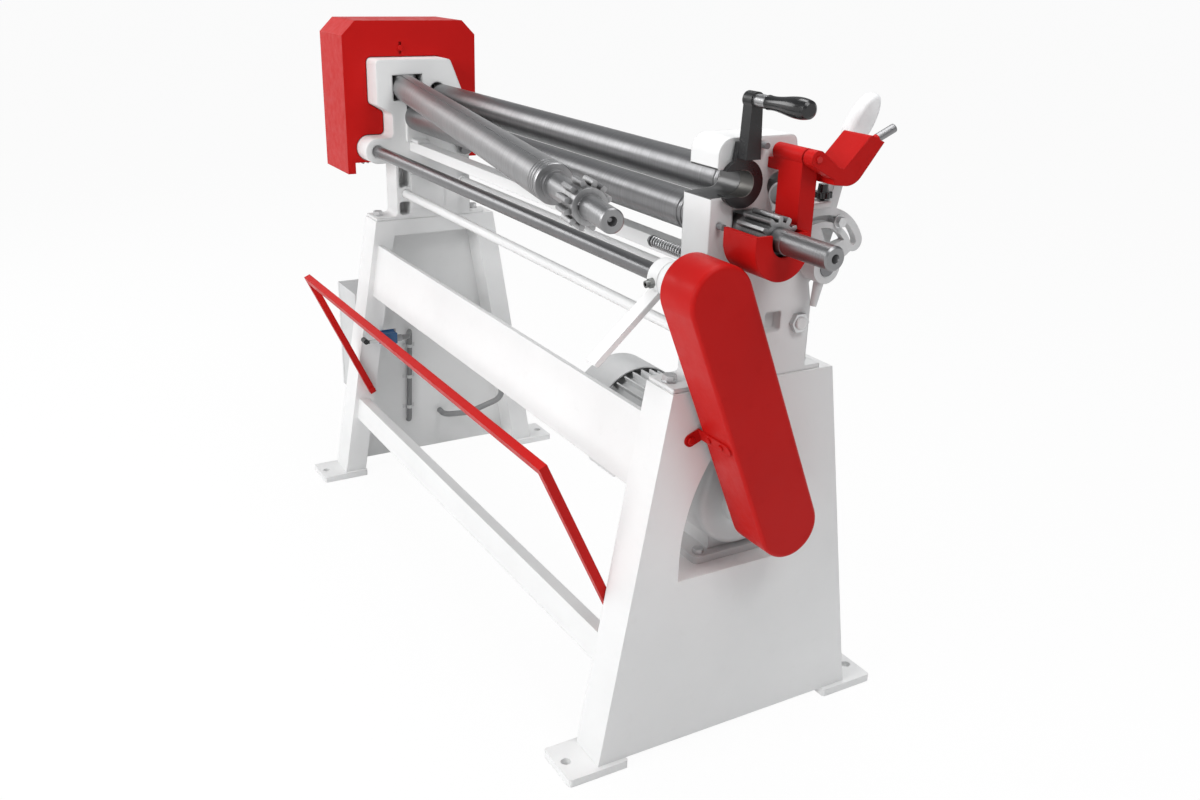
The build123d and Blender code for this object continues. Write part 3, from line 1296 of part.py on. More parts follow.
# Strap on the housing and the screw that holds the left cover in its keyhole
with BuildPart() as cover_strap:
    with BuildSketch(square_plane(-house_outer, -57, 1106)):
        Rectangle(22, 58)
    extrude(amount=-6)
    with BuildSketch(square_plane(-house_outer, -57, 1122)):
        Circle(3)
    extrude(amount=box_near + house_outer + 1)
    with BuildSketch(square_plane(box_near + 0.3, -57, 1122)):
        Circle(7)
    extrude(amount=5)
    chamfer(cover_strap.edges().group_by(Axis.X)[-1], 1.2)
cover_strap.part.label = "cover_strap"
export_step(cover_strap.part, "parts/cover_strap.step")

# Motor: finned case, cowl, terminal box, fan
with BuildPart() as motor_body:
    with BuildSketch(square_plane(cowl_right + 3, motor_y, motor_z)):
        Circle(motor_r)
        with PolarLocations((motor_r + fin_r) / 2 - 3, 30, start_angle=6):
            Rectangle(fin_r - motor_r + 6, 3)
    extrude(amount=fin_right - cowl_right - 3)
    with BuildSketch(square_plane(fin_right, motor_y, motor_z)):
        Circle(fin_r)
    extrude(amount=motor_flange - fin_right)
    with BuildSketch(square_plane(cowl_left + 62, motor_y, motor_z)):
        Circle(motor_r - 6)
        Circle(9 + run_fit, mode=Mode.SUBTRACT)
    extrude(amount=cowl_right + 3 - cowl_left - 62)
    with BuildSketch(square_plane(cowl_right - 12, motor_y, motor_z)):
        lug_top = cowl_r - cowl_wall - 2 * slide_gap
        with PolarLocations((motor_r - 12 + lug_top) / 2, 4, start_angle=45):
            Rectangle(lug_top - motor_r + 12, 12)
    extrude(amount=15)
    with BuildSketch(square_plane(cowl_right + 3, motor_y, motor_z)):
        Circle(9 + run_fit)
    extrude(amount=20, mode=Mode.SUBTRACT)
    with BuildSketch(Plane.XZ.offset(-motor_y + motor_r - 8)):
        with Locations((fin_right - 85, motor_z)):
            Rectangle(70, 60)
    extrude(amount=30)
motor_body.part.label = "motor_body"
export_step(motor_body.part, "parts/motor_body.step")

with BuildPart() as terminal_box:
    with BuildSketch(Plane.XZ.offset(-motor_y + motor_r + 22)):
        with Locations((fin_right - 85, motor_z)):
            RectangleRounded(100, 84, 8)
    extrude(amount=46)
    with BuildSketch(Plane.YZ.offset(fin_right - 135)):
        with Locations((motor_y - motor_r - 45, motor_z)):
            Circle(12)
    extrude(amount=-14)
terminal_box.part.label = "terminal_box"
export_step(terminal_box.part, "parts/terminal_box.step")

with BuildPart() as motor_cowl:
    with BuildSketch(Plane(origin=(cowl_left, motor_y, motor_z), x_dir=(1, 0, 0), z_dir=(0, -1, 0))):
        with BuildLine():
            Polyline((0, 0), (0, cowl_r - 9), (3, cowl_r - 3), (9, cowl_r), (cowl_right - cowl_left, cowl_r),
                     (cowl_right - cowl_left, cowl_r - cowl_wall), (10, cowl_r - cowl_wall),
                     (5, cowl_r - 2 * cowl_wall), (cowl_wall, cowl_r - 10), (cowl_wall, 0), close=True)
        make_face()
    revolve(axis=Axis((cowl_left, motor_y, motor_z), (1, 0, 0)))
    with BuildSketch(square_plane(cowl_left, motor_y, motor_z)):
        for ring in range(4):
            with PolarLocations(24 + ring * 15, 10 + ring * 6):
                Circle(4.5)
    extrude(amount=4, mode=Mode.SUBTRACT)
motor_cowl.part.label = "motor_cowl"
export_step(motor_cowl.part, "parts/motor_cowl.step")

with BuildPart() as motor_fan:
    with BuildSketch(square_plane(cowl_left + 24, motor_y, motor_z)):
        Circle(26)
        with PolarLocations(46, 7):
            Rectangle(54, 4)
    extrude(amount=28)
    with BuildSketch(square_plane(cowl_left + 24, motor_y, motor_z)):
        Circle(9)
    extrude(amount=cowl_right - cowl_left - 10)
motor_fan.part.label = "motor_fan"
export_step(motor_fan.part, "parts/motor_fan.step")

# Reducer with feet on the shelf
with BuildPart() as reducer:
    with BuildSketch(Plane.YZ.offset(motor_flange)):
        add(hull_face((motor_y, motor_z, motor_r + 1), (output_y, output_z, 92)))
    extrude(amount=reducer_right - motor_flange)
    fillet(reducer.edges().group_by(Axis.X)[-1], 12)
    with BuildSketch(Plane.XY.offset(arch_sill)):
        with Locations(((motor_flange + reducer_right) / 2 + 6, motor_y)):
            RectangleRounded(124, 190, 10)
        with Locations((motor_flange + 30, motor_y), (reducer_right - 18, motor_y)):
            with Locations((0, -78), (0, 78)):
                Circle(6 + bolt_gap, mode=Mode.SUBTRACT)
    extrude(amount=14)
    with BuildSketch(Plane.XY.offset(arch_sill + 10)):
        with Locations(((motor_flange + reducer_right) / 2, motor_y)):
            Rectangle(100, 110)
    extrude(amount=60)
    with BuildSketch(square_plane(reducer_right, output_y, output_z)):
        Circle(46)
    extrude(amount=22)
    with BuildSketch(square_plane(reducer_right + 22, output_y, output_z)):
        Circle(output_r + run_fit)
    extrude(amount=-60, mode=Mode.SUBTRACT)
reducer.part.label = "reducer"
export_step(reducer.part, "parts/reducer.step")

with BuildPart() as reducer_bolts:
    with BuildSketch(Plane.XY.offset(arch_sill - shelf_t - 8)):
        with Locations((motor_flange + 30, motor_y), (reducer_right - 18, motor_y)):
            with Locations((0, -78), (0, 78)):
                Circle(6)
    extrude(amount=shelf_t + 8 + 14)
    with BuildSketch(Plane.XY.offset(arch_sill + 14)):
        with Locations((motor_flange + 30, motor_y), (reducer_right - 18, motor_y)):
            with Locations((0, -78), (0, 78)):
                RegularPolygon(11, 6)
    extrude(amount=8)
    with BuildSketch(Plane.XY.offset(arch_sill - shelf_t)):
        with Locations((motor_flange + 30, motor_y), (reducer_right - 18, motor_y)):
            with Locations((0, -78), (0, 78)):
                RegularPolygon(11, 6)
    extrude(amount=-8)
reducer_bolts.part.label = "reducer_bolts"
export_step(reducer_bolts.part, "parts/reducer_bolts.step")

# Sprockets and chain under the chain cover
with BuildPart() as reducer_sprocket:
    with BuildSketch(square_plane(chain_x - sprocket_t / 2, output_y, output_z)):
        add(gear_face(sprocket_teeth, sprocket_r, sprocket_r + 4, sprocket_r - 6, 30, 3, 0))
    extrude(amount=sprocket_t)
    with BuildSketch(square_plane(chain_x - 24, output_y, output_z)):
        Circle(26)
    extrude(amount=34)
    with BuildSketch(square_plane(reducer_right - 30, output_y, output_z)):
        Circle(output_r)
    extrude(amount=chain_x - 24 - reducer_right + 30)
reducer_sprocket.part.label = "reducer_sprocket"
export_step(reducer_sprocket.part, "parts/reducer_sprocket.step")

with BuildPart() as shaft_sprocket:
    with BuildSketch(square_plane(chain_x - sprocket_t / 2, shaft_y, shaft_z)):
        add(gear_face(sprocket_teeth, sprocket_r, sprocket_r + 4, sprocket_r - 6, 30, 3, 0))
        Circle(shaft_r + 0.02, mode=Mode.SUBTRACT)
    extrude(amount=sprocket_t)
    with BuildSketch(square_plane(chain_x - 24, shaft_y, shaft_z)):
        Circle(26)
        Circle(shaft_r + 0.02, mode=Mode.SUBTRACT)
    extrude(amount=34)
shaft_sprocket.part.label = "shaft_sprocket"
export_step(shaft_sprocket.part, "parts/shaft_sprocket.step")

chain_dy = shaft_y - output_y
chain_dz = shaft_z - output_z
chain_l = hypot(chain_dy, chain_dz)
chain_turn = degrees(atan2(chain_dz, chain_dy))
chain_plane = square_plane(chain_x, (shaft_y + output_y) / 2, (shaft_z + output_z) / 2)
with BuildPart() as chain:
    with BuildSketch(chain_plane.offset(sprocket_t / 2 + 0.8), chain_plane.offset(-sprocket_t / 2 - 0.8 - chain_plate_t)):
        SlotCenterToCenter(chain_l, 2 * sprocket_r + chain_plate_w, rotation=chain_turn)
        SlotCenterToCenter(chain_l, 2 * sprocket_r - chain_plate_w, rotation=chain_turn, mode=Mode.SUBTRACT)
    extrude(amount=chain_plate_t)
    chain_rolls = int((chain_l - 70) / chain_pitch)
    with BuildSketch(chain_plane.offset(-sprocket_t / 2 - 0.8)):
        for row in range(chain_rolls):
            along = (row - (chain_rolls - 1) / 2) * chain_pitch
            for rise in (-sprocket_r, sprocket_r):
                with Locations((along * cos(radians(chain_turn)) - rise * sin(radians(chain_turn)),
                                along * sin(radians(chain_turn)) + rise * cos(radians(chain_turn)))):
                    Circle(5.9)
    extrude(amount=sprocket_t + 1.6)
chain.part.label = "chain"
export_step(chain.part, "parts/chain.step")

hook_out = (-chain_dz / chain_l, chain_dy / chain_l)


def hook_foot(out):
    """Point beside the chain cover's front rim, at the hook's middle."""
    along = hook_along / chain_l
    return ((shaft_y + output_y) / 2 + along * chain_dy + (cover_r + out) * hook_out[0],
            (shaft_z + output_z) / 2 + along * chain_dz + (cover_r + out) * hook_out[1])


with BuildPart() as chain_cover:
    cover_plane = square_plane(cover_left, (shaft_y + output_y) / 2, (shaft_z + output_z) / 2)
    with BuildSketch(cover_plane):
        SlotCenterToCenter(chain_l, 2 * cover_r, rotation=chain_turn)
    extrude(amount=cover_right - cover_left)
    fillet(chain_cover.edges().group_by(Axis.X)[-1], 7)
    with BuildSketch(cover_plane):
        SlotCenterToCenter(chain_l, 2 * (cover_r - cover_wall), rotation=chain_turn)
    extrude(amount=cover_right - cover_left - cover_wall, mode=Mode.SUBTRACT)
    hook_plane = Plane(origin=(cover_left, *hook_foot(0)), x_dir=(1, 0, 0), z_dir=(0, *hook_out))
    with BuildSketch(hook_plane):
        with Locations(((stand_outer + cover_right) / 2 - cover_left - hook_w / 2, 0)):
            Rectangle(cover_right - stand_outer - hook_w, hook_w)
        with Locations((cover_right - cover_left - hook_w, 0)):
            Circle(hook_w / 2)
    extrude(amount=hook_t)
    with BuildSketch(Plane.YZ.offset(stand_outer)):
        with Locations(hook_foot(hook_w / 2)):
            Rectangle(hook_w, hook_w, rotation=chain_turn)
        with Locations(hook_foot(hook_w)):
            Circle(hook_w / 2)
    extrude(amount=hook_t)
chain_cover.part.label = "chain_cover"
export_step(chain_cover.part, "parts/chain_cover.step")

# Control lever on its sleeve round the drive shaft
control_turn = degrees(atan2(763 - shaft_z, -278 - shaft_y))
control_l = hypot(763 - shaft_z, -278 - shaft_y)
control_t = 10.0
screw_way = (0, -0.995, -0.1)
with BuildPart() as control_lever:
    with BuildSketch(square_plane(control_left, shaft_y, shaft_z)):
        Circle(shaft_boss_r)
        Circle(shaft_r + run_fit, mode=Mode.SUBTRACT)
    extrude(amount=control_w)
    with BuildSketch(square_plane(control_left, shaft_y, shaft_z)):
        with Locations((control_l / 2 * cos(radians(control_turn)), control_l / 2 * sin(radians(control_turn)))):
            SlotOverall(control_l + 24, control_t, rotation=control_turn)
        Circle(shaft_boss_r - 4, mode=Mode.SUBTRACT)
    extrude(amount=control_w)
    with BuildSketch(Plane(origin=(control_left + 16, shaft_y, shaft_z), x_dir=(1, 0, 0), z_dir=screw_way).offset(shaft_boss_r - 4)):
        RegularPolygon(8, 6)
    extrude(amount=11)
    with BuildSketch(Plane(origin=(control_left + 16, shaft_y, shaft_z), x_dir=(1, 0, 0), z_dir=screw_way).offset(shaft_boss_r + 7)):
        Circle(6)
        RegularPolygon(3.2, 6, mode=Mode.SUBTRACT)
    extrude(amount=6)
    with BuildSketch(square_plane(control_left, shaft_y, shaft_z)):
        Circle(shaft_r + run_fit)
    extrude(amount=control_w, mode=Mode.SUBTRACT)
control_lever.part.label = "control_lever"
export_step(control_lever.part, "parts/control_lever.step")

# Detent spring on its guide rod beside the right housing
spring_y = -102.0
spring_z = 907.0
spring_left = house_inner - 94.0
wire_r = 1.3
coil_r = 8.6
coils = 12
coil_pitch = (house_inner - 1 - wire_r - spring_left) / (coils + 0.5)
print("spring pitch", round(coil_pitch, 3), "gap between turns", round(coil_pitch - 2 * wire_r, 3))
with BuildPart() as spring_rod:
    with BuildSketch(square_plane(spring_left - 16, spring_y, spring_z)):
        Circle(4)
    extrude(amount=house_inner + 20 - spring_left + 16)
    with BuildSketch(square_plane(spring_left - 5, spring_y, spring_z)):
        Circle(10)
    extrude(amount=3)
    with BuildSketch(square_plane(spring_left - 12, spring_y, spring_z)):
        RegularPolygon(7.5, 6)
    extrude(amount=7)
spring_rod.part.label = "spring_rod"
export_step(spring_rod.part, "parts/spring_rod.step")

with BuildPart() as detent_spring:
    with BuildLine():
        add(biarc_helix((spring_left, spring_y, spring_z), coil_r, coil_pitch, coils))
    with BuildSketch(Plane(origin=(spring_left, spring_y + coil_r, spring_z),
                           z_dir=(coil_pitch / (2 * pi), 0, coil_r))):
        Circle(wire_r)
    sweep()
detent_spring.part.label = "detent_spring"
export_step(detent_spring.part, "parts/detent_spring.step")

# Trip bar across the front and its pivots
trip_turn = atan2(trip_corner_z - trip_z, trip_corner_y - trip_y)
trip_l = hypot(trip_corner_z - trip_z, trip_corner_y - trip_y)
with BuildPart() as trip_bar:
    with BuildSketch(Plane.YZ.offset(trip_x - trip_t / 2)):
        along = (trip_l + trip_t / 2 - trip_end) / 2
        with Locations((trip_y + along * cos(trip_turn), trip_z + along * sin(trip_turn))):
            Rectangle(trip_l + trip_t / 2 + trip_end, trip_t, rotation=degrees(trip_turn))
        with Locations((trip_y, trip_z)):
            Circle(trip_pin_r + run_fit, mode=Mode.SUBTRACT)
    extrude(amount=trip_t)
    mirror(about=Plane.YZ)
    with BuildSketch(Plane.YZ.offset(-trip_x)):
        with Locations((trip_corner_y, trip_corner_z)):
            Rectangle(trip_t, trip_t, rotation=degrees(trip_turn))
    extrude(amount=2 * trip_x)
trip_bar.part.label = "trip_bar"
export_step(trip_bar.part, "parts/trip_bar.step")

with BuildPart() as trip_pivots:
    with BuildSketch(square_plane(stand_inner, trip_y, trip_z)):
        Circle(trip_pin_r)
    extrude(amount=-(stand_inner - trip_x + trip_t / 2 + 2))
    with BuildSketch(square_plane(stand_inner, trip_y, trip_z)):
        Circle(8)
    extrude(amount=-(stand_inner - trip_x - trip_t / 2 - slide_gap))
    with BuildSketch(square_plane(trip_x - trip_t / 2 - slide_gap, trip_y, trip_z)):
        Circle(8)
    extrude(amount=-4)
    mirror(about=Plane.YZ)
trip_pivots.part.label = "trip_pivots"
export_step(trip_pivots.part, "parts/trip_pivots.step")

# Limit switch behind the left front leg and its roller arm
switch_x = -stand_inner + 4
with BuildPart() as limit_switch:
    with BuildSketch(Plane.YZ.offset(-stand_inner)):
        with Locations((-149, 390)):
            Rectangle(46, 36)
    extrude(amount=4)
    with BuildSketch(Plane.YZ.offset(switch_x)):
        with Locations((-148, 390)):
            RectangleRounded(36, 30, 3)
    extrude(amount=24)
    with BuildSketch(square_plane(switch_x + 24, -160, 392)):
        Circle(9)
        Circle(4 + run_fit, mode=Mode.SUBTRACT)
    extrude(amount=5)
    with BuildSketch(square_plane(switch_x + 10, -160, 392)):
        Circle(4 + run_fit)
    extrude(amount=14, mode=Mode.SUBTRACT)
    with BuildSketch(Plane.XZ.offset(131)):
        with Locations((switch_x + 12, 386)):
            Circle(9)
    extrude(amount=-16)
limit_switch.part.label = "limit_switch"
export_step(limit_switch.part, "parts/limit_switch.step")

with BuildPart() as switch_arm:
    with BuildSketch(square_plane(switch_x + 29 + slide_gap, -160, 392)):
        add(hull_face((0, 0, 6), (-58, 0, 4)))
    extrude(amount=4)
    with BuildSketch(square_plane(switch_x + 11, -160, 392)):
        Circle(4)
    extrude(amount=19)
    with BuildSketch(square_plane(switch_x + 29 + slide_gap, -218, 392)):
        Circle(7)
    extrude(amount=-24)
switch_arm.part.label = "switch_arm"
export_step(switch_arm.part, "parts/switch_arm.step")

# Rigid conduit from the switch down the left panel, with its clips
pipe_r = 7.0
panel_in = -stand_outer + sheet
pipe_points = [(switch_x + 12, -115, 386), (switch_x + 12, -98, 386), (panel_in + pipe_r + 2, -60, 374),
               (panel_in + pipe_r + 2, -70, 108), (panel_in, -70, 108)]
with BuildPart() as rigid_conduit:
    with BuildLine() as pipe_line:
        FilletPolyline(*pipe_points, radius=[12, 20, pipe_r + 1.5])
    with BuildSketch(Plane(origin=pipe_points[0], z_dir=(0, 1, 0))):
        Circle(pipe_r)
    sweep()
    with BuildSketch(Plane.YZ.offset(panel_in)):
        for level in (330, 240, 150):
            with Locations((-60 - (374 - level) * 10 / 262, level)):
                Rectangle(34, 10)
    extrude(amount=1.8)
rigid_conduit.part.label = "rigid_conduit"
export_step(rigid_conduit.part, "parts/rigid_conduit.step")

# Electric box on the outer face of the left stand, and its door on two pin hinges
cab_y = cab_front + cab_w / 2
cab_z = (cab_low + cab_high) / 2
cab_wall = 2.0
cab_seam = 2.0
knuckle_r = 6.0
knuckle_pin_r = 3.0
knuckle_h = 18.0
knuckle_rise = 90.0
cab_mouth = -stand_outer - cab_deep
cab_hinge_x = cab_mouth - cab_seam
cab_hinge_y = cab_front + cab_w + knuckle_r + air_gap
with BuildPart() as electric_box:
    with BuildSketch(square_plane(-stand_outer, cab_y, cab_z)):
        Rectangle(cab_w, cab_high - cab_low)
    extrude(amount=-cab_deep)
    with BuildSketch(square_plane(-stand_outer - cab_wall, cab_y, cab_z)):
        Rectangle(cab_w - 2 * cab_wall, cab_high - cab_low - 2 * cab_wall)
    extrude(amount=-cab_deep, mode=Mode.SUBTRACT)
    for level in (cab_z - knuckle_rise, cab_z + knuckle_rise):
        with BuildSketch(Plane.XY.offset(level - knuckle_h)):
            with Locations((cab_mouth + 10, cab_front + cab_w + 1.5)):
                Rectangle(20, 3)
        extrude(amount=2 * knuckle_h)
        with BuildSketch(Plane.XY.offset(level - knuckle_h)):
            with Locations((cab_hinge_x, cab_hinge_y)):
                Circle(knuckle_r)
        extrude(amount=knuckle_h - slide_gap)
        with BuildSketch(Plane.XY.offset(level - knuckle_h)):
            with Locations((cab_hinge_x, cab_hinge_y)):
                Circle(knuckle_pin_r)
        extrude(amount=2 * knuckle_h)
        with BuildSketch(Plane.XY.offset(level)):
            with Locations((cab_hinge_x, cab_hinge_y)):
                Circle(knuckle_r + air_gap)
                Circle(knuckle_pin_r, mode=Mode.SUBTRACT)
        extrude(amount=knuckle_h, mode=Mode.SUBTRACT)
    with BuildSketch(Plane.XY.offset(cab_low)):
        with Locations((-stand_outer - cab_deep / 2, cab_y + 60)):
            Circle(13)
    extrude(amount=-20)
electric_box.part.label = "electric_box"
export_step(electric_box.part, "parts/electric_box.step")

with BuildPart() as box_door:
    with BuildSketch(square_plane(cab_hinge_x, cab_y, cab_z)):
        Rectangle(cab_w, cab_high - cab_low)
    extrude(amount=-cab_door_t)
    fillet(box_door.edges().group_by(Axis.X)[0], 3)
    with BuildSketch(square_plane(cab_hinge_x, cab_y, cab_z)):
        Rectangle(cab_w - 2 * cab_wall, cab_high - cab_low - 2 * cab_wall)
    extrude(amount=-cab_door_t + cab_wall, mode=Mode.SUBTRACT)
    with BuildSketch(square_plane(cab_hinge_x - cab_door_t, cab_front + 26, cab_z)):
        Circle(11)
        Rectangle(6, 26)
    extrude(amount=-7)
    for level in (cab_z - knuckle_rise, cab_z + knuckle_rise):
        with BuildSketch(Plane.XY.offset(level + slide_gap)):
            with Locations((cab_hinge_x, cab_hinge_y)):
                Circle(knuckle_r)
            with Locations((cab_hinge_x - knuckle_r / 2, (cab_front + cab_w + cab_hinge_y) / 2 - 1)):
                Rectangle(knuckle_r, cab_hinge_y - cab_front - cab_w + 2)
            with Locations((cab_hinge_x, cab_hinge_y)):
                Circle(knuckle_pin_r + run_fit, mode=Mode.SUBTRACT)
        extrude(amount=knuckle_h - 2 * slide_gap)
box_door.part.label = "box_door"
export_step(box_door.part, "parts/box_door.step")

# Flexible conduit from the left panel to the motor's terminal box
hose_r = 8.0
hose_points = [(panel_in + slide_gap, 26, 119), (-690, 26, 119), (-664, 90, 124), (-600, 167, 180), (-540, 110, 330),
               (-470, -150, 538), (330, -150, 538), (368, motor_y - motor_r - 45, motor_z),
               (396, motor_y - motor_r - 45, motor_z)]
hose_radii = [24, 40, 50, 60, 60, 40, 20]
print("hose radii", hose_radii)
with BuildPart() as flexible_conduit:
    with BuildLine() as hose_line:
        FilletPolyline(*hose_points, radius=hose_radii)
    with BuildSketch(Plane(origin=hose_points[0], z_dir=hose_line.line % 0)):
        Circle(hose_r)
    sweep()
flexible_conduit.part.label = "flexible_conduit"
export_step(flexible_conduit.part, "parts/flexible_conduit.step")
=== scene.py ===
"""Looks of the plate rolling machine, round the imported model, in metres."""

import math

import bmesh
import bpy
from mathutils import Matrix, Vector


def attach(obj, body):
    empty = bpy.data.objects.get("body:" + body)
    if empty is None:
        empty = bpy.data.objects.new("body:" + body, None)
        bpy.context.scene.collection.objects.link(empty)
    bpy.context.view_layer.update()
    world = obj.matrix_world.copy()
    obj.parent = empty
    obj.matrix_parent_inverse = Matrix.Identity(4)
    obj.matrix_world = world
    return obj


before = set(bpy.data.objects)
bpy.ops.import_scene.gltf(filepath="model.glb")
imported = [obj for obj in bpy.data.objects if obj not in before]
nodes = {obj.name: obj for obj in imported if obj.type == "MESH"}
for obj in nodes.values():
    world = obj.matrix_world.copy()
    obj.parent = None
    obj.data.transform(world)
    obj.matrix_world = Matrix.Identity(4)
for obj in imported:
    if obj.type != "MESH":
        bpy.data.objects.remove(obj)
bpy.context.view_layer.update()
scene = bpy.context.scene

# Camera at the photograph's angle
azimuth, elevation, roll = math.radians(59.76), math.radians(21.68), math.radians(1.55)
eye = (2.1395, -1.1318, 1.3472)
forward = Vector((-math.sin(azimuth) * math.cos(elevation),
                  math.cos(azimuth) * math.cos(elevation),
                  -math.sin(elevation)))
level = Vector((math.cos(azimuth), math.sin(azimuth), 0))
rise = level.cross(forward)
right = level * math.cos(roll) + rise * math.sin(roll)
up = rise * math.cos(roll) - level * math.sin(roll)
lens = bpy.data.cameras.new("camera")
lens.lens = 34.172
lens.sensor_width = 36
lens.shift_x = 0.00574
lens.shift_y = 0.00869
lens.clip_end = 200
camera = bpy.data.objects.new("camera", lens)
camera.matrix_world = Matrix((*zip(right, up, -forward, eye), (0, 0, 0, 1)))
scene.collection.objects.link(camera)
scene.camera = camera

# Light
scene.view_settings.view_transform = "Standard"
world = bpy.data.worlds.new("studio")
scene.world = world
world.use_nodes = True
sky = world.node_tree.nodes["Background"].inputs
sky["Color"].default_value = (0.95, 0.97, 1, 1)
sky["Strength"].default_value = 0.29


def lamp(name, place, target, wide, tall, watts):
    """Soft box that faces a point."""
    data = bpy.data.lights.new(name, "AREA")
    data.shape = "RECTANGLE"
    data.size, data.size_y, data.energy = wide, tall, watts
    obj = bpy.data.objects.new(name, data)
    obj.location = place
    obj.rotation_euler = (Vector(target) - Vector(place)).to_track_quat("-Z", "Y").to_euler()
    scene.collection.objects.link(obj)


lamp("key_light", (0.8, -4.0, 2.6), (0, 0, 0.6), wide=3.0, tall=2.2, watts=138)
lamp("fill_light", (2.3, 0.0, 2.7), (0.7, 0, 0.9), wide=1.2, tall=1.0, watts=21)
lamp("top_light", (0.0, 0.5, 3.8), (0, 0, 0.8), wide=3.4, tall=1.2, watts=66)
lamp("band_light", (-3.1, -1.95, 2.35), (0, -0.1, 1.0), wide=2.4, tall=1.4, watts=42)


class Nodes:
    """Short way to write a material's node tree."""

    def __init__(self, name):
        self.material = bpy.data.materials.new(name)
        self.material.use_nodes = True
        self.tree = self.material.node_tree
        self.shader = self.tree.nodes["Principled BSDF"]
        self.coords = self.tree.nodes.new("ShaderNodeTexCoord").outputs["Object"]

    def link(self, a, b):
        self.tree.links.new(a, b)

    def noise(self, scale, detail, stretch=None, turn=(0, 0, 0), rough=0.55):
        """Noise, stretched along the axes where a stretch is given."""
        source = self.coords
        if stretch:
            place = self.tree.nodes.new("ShaderNodeMapping")
            place.inputs["Scale"].default_value = stretch
            place.inputs["Rotation"].default_value = turn
            self.link(source, place.inputs["Vector"])
            source = place.outputs["Vector"]
        node = self.tree.nodes.new("ShaderNodeTexNoise")
        node.inputs["Scale"].default_value = scale
        node.inputs["Detail"].default_value = detail
        node.inputs["Roughness"].default_value = rough
        self.link(source, node.inputs["Vector"])
        return node.outputs["Fac"]

    def span(self, value, low, high, start=0.3, end=0.7):
        """Value between start and end brought to between low and high."""
        node = self.tree.nodes.new("ShaderNodeMapRange")
        node.inputs["From Min"].default_value = start
        node.inputs["From Max"].default_value = end
        node.inputs["To Min"].default_value = low
        node.inputs["To Max"].default_value = high
        self.link(value, node.inputs["Value"])
        return node.outputs["Result"]

    def mix(self, factor, a, b):
        """Colour between a and b."""
        node = self.tree.nodes.new("ShaderNodeMix")
        node.data_type = "RGBA"
        for socket, value in ((node.inputs[6], a), (node.inputs[7], b)):
            if isinstance(value, tuple):
                socket.default_value = (*value, 1)
            else:
                self.link(value, socket)
        self.link(factor, node.inputs[0])
        return node.outputs[2]

    def number(self, operation, a, b):
        node = self.tree.nodes.new("ShaderNodeMath")
        node.operation = operation
        for socket, value in zip(node.inputs, (a, b)):
            if isinstance(value, (int, float)):
                socket.default_value = value
            else:
                self.link(value, socket)
        return node.outputs[0]

    def axes(self):
        node = self.tree.nodes.new("ShaderNodeSeparateXYZ")
        self.link(self.coords, node.inputs[0])
        return node.outputs[0], node.outputs[1], node.outputs[2]

    def above(self, value, low):
        return self.number("GREATER_THAN", value, low)

    def below(self, value, high):
        return self.number("LESS_THAN", value, high)

    def within(self, value, low, high):
        return self.both(self.above(value, low), self.below(value, high))

    def round(self, a, b, centre, radius):
        """1 inside the circle."""
        da, db = (self.number("SUBTRACT", v, c) for v, c in zip((a, b), centre))
        squares = (self.number("MULTIPLY", d, d) for d in (da, db))
        return self.below(self.number("ADD", *squares), radius * radius)

    def both(self, *masks):
        out = masks[0]
        for mask in masks[1:]:
            out = self.number("MULTIPLY", out, mask)
        return out

    def overlay(self, mask, colour, rough, metal):
        """Another finish where the mask is 1."""
        base, dull, bare = (self.shader.inputs[k] for k in ("Base Color", "Roughness", "Metallic"))
        self.link(self.mix(mask, base.links[0].from_socket, colour), base)
        rest = self.number("SUBTRACT", 1.0, mask)
        old = self.number("MULTIPLY", dull.links[0].from_socket, rest)
        self.link(self.number("ADD", old, self.number("MULTIPLY", mask, rough)), dull)
        metal_part = self.number("MULTIPLY", mask, metal)
        if bare.links:
            metal_part = self.number("MAXIMUM", bare.links[0].from_socket, metal_part)
        self.link(metal_part, bare)

    def grease_and_shade_hollows(self, colour, reach):
        """Dark grease and painted shade, darkening the colour where the shape is hollow."""
        node = self.tree.nodes.new("ShaderNodeAmbientOcclusion")
        node.samples = 6
        node.inputs["Distance"].default_value = reach
        base = self.shader.inputs["Base Color"]
        depth = self.span(node.outputs["AO"], 0.9, 0.0, 0.35, 0.85)
        self.link(self.mix(depth, base.links[0].from_socket, colour), base)

    def bump(self, height, strength, distance, edge):
        """Fine relief, with edges rounded by the given radius."""
        node = self.tree.nodes.new("ShaderNodeBump")
        node.inputs["Strength"].default_value = strength
        node.inputs["Distance"].default_value = distance
        self.link(height, node.inputs["Height"])
        bevel = self.tree.nodes.new("ShaderNodeBevel")
        bevel.samples = 4
        bevel.inputs["Radius"].default_value = edge
        self.link(bevel.outputs["Normal"], node.inputs["Normal"])
        self.link(node.outputs["Normal"], self.shader.inputs["Normal"])


def paint(name, colour, worn, rough, peel, edge, grime, shine=0.45):
    """Sprayed paint: slight orange peel, faint clouding, dull handling marks."""
    n = Nodes(name)
    cloud = n.noise(3.2, 4.0)
    spots = n.noise(38.0, 5.0, rough=0.65)
    marks = n.span(spots, 0.0, grime, 0.60, 0.78)
    tint = n.mix(n.span(cloud, 0.0, 1.0), colour, tuple(c * 0.93 for c in colour))
    n.link(n.mix(marks, tint, worn), n.shader.inputs["Base Color"])
    n.link(n.span(spots, rough - 0.05, rough + 0.14), n.shader.inputs["Roughness"])
    n.shader.inputs["Specular IOR Level"].default_value = shine
    n.bump(n.noise(520.0, 2.0), peel, 0.0006, edge)
    return n


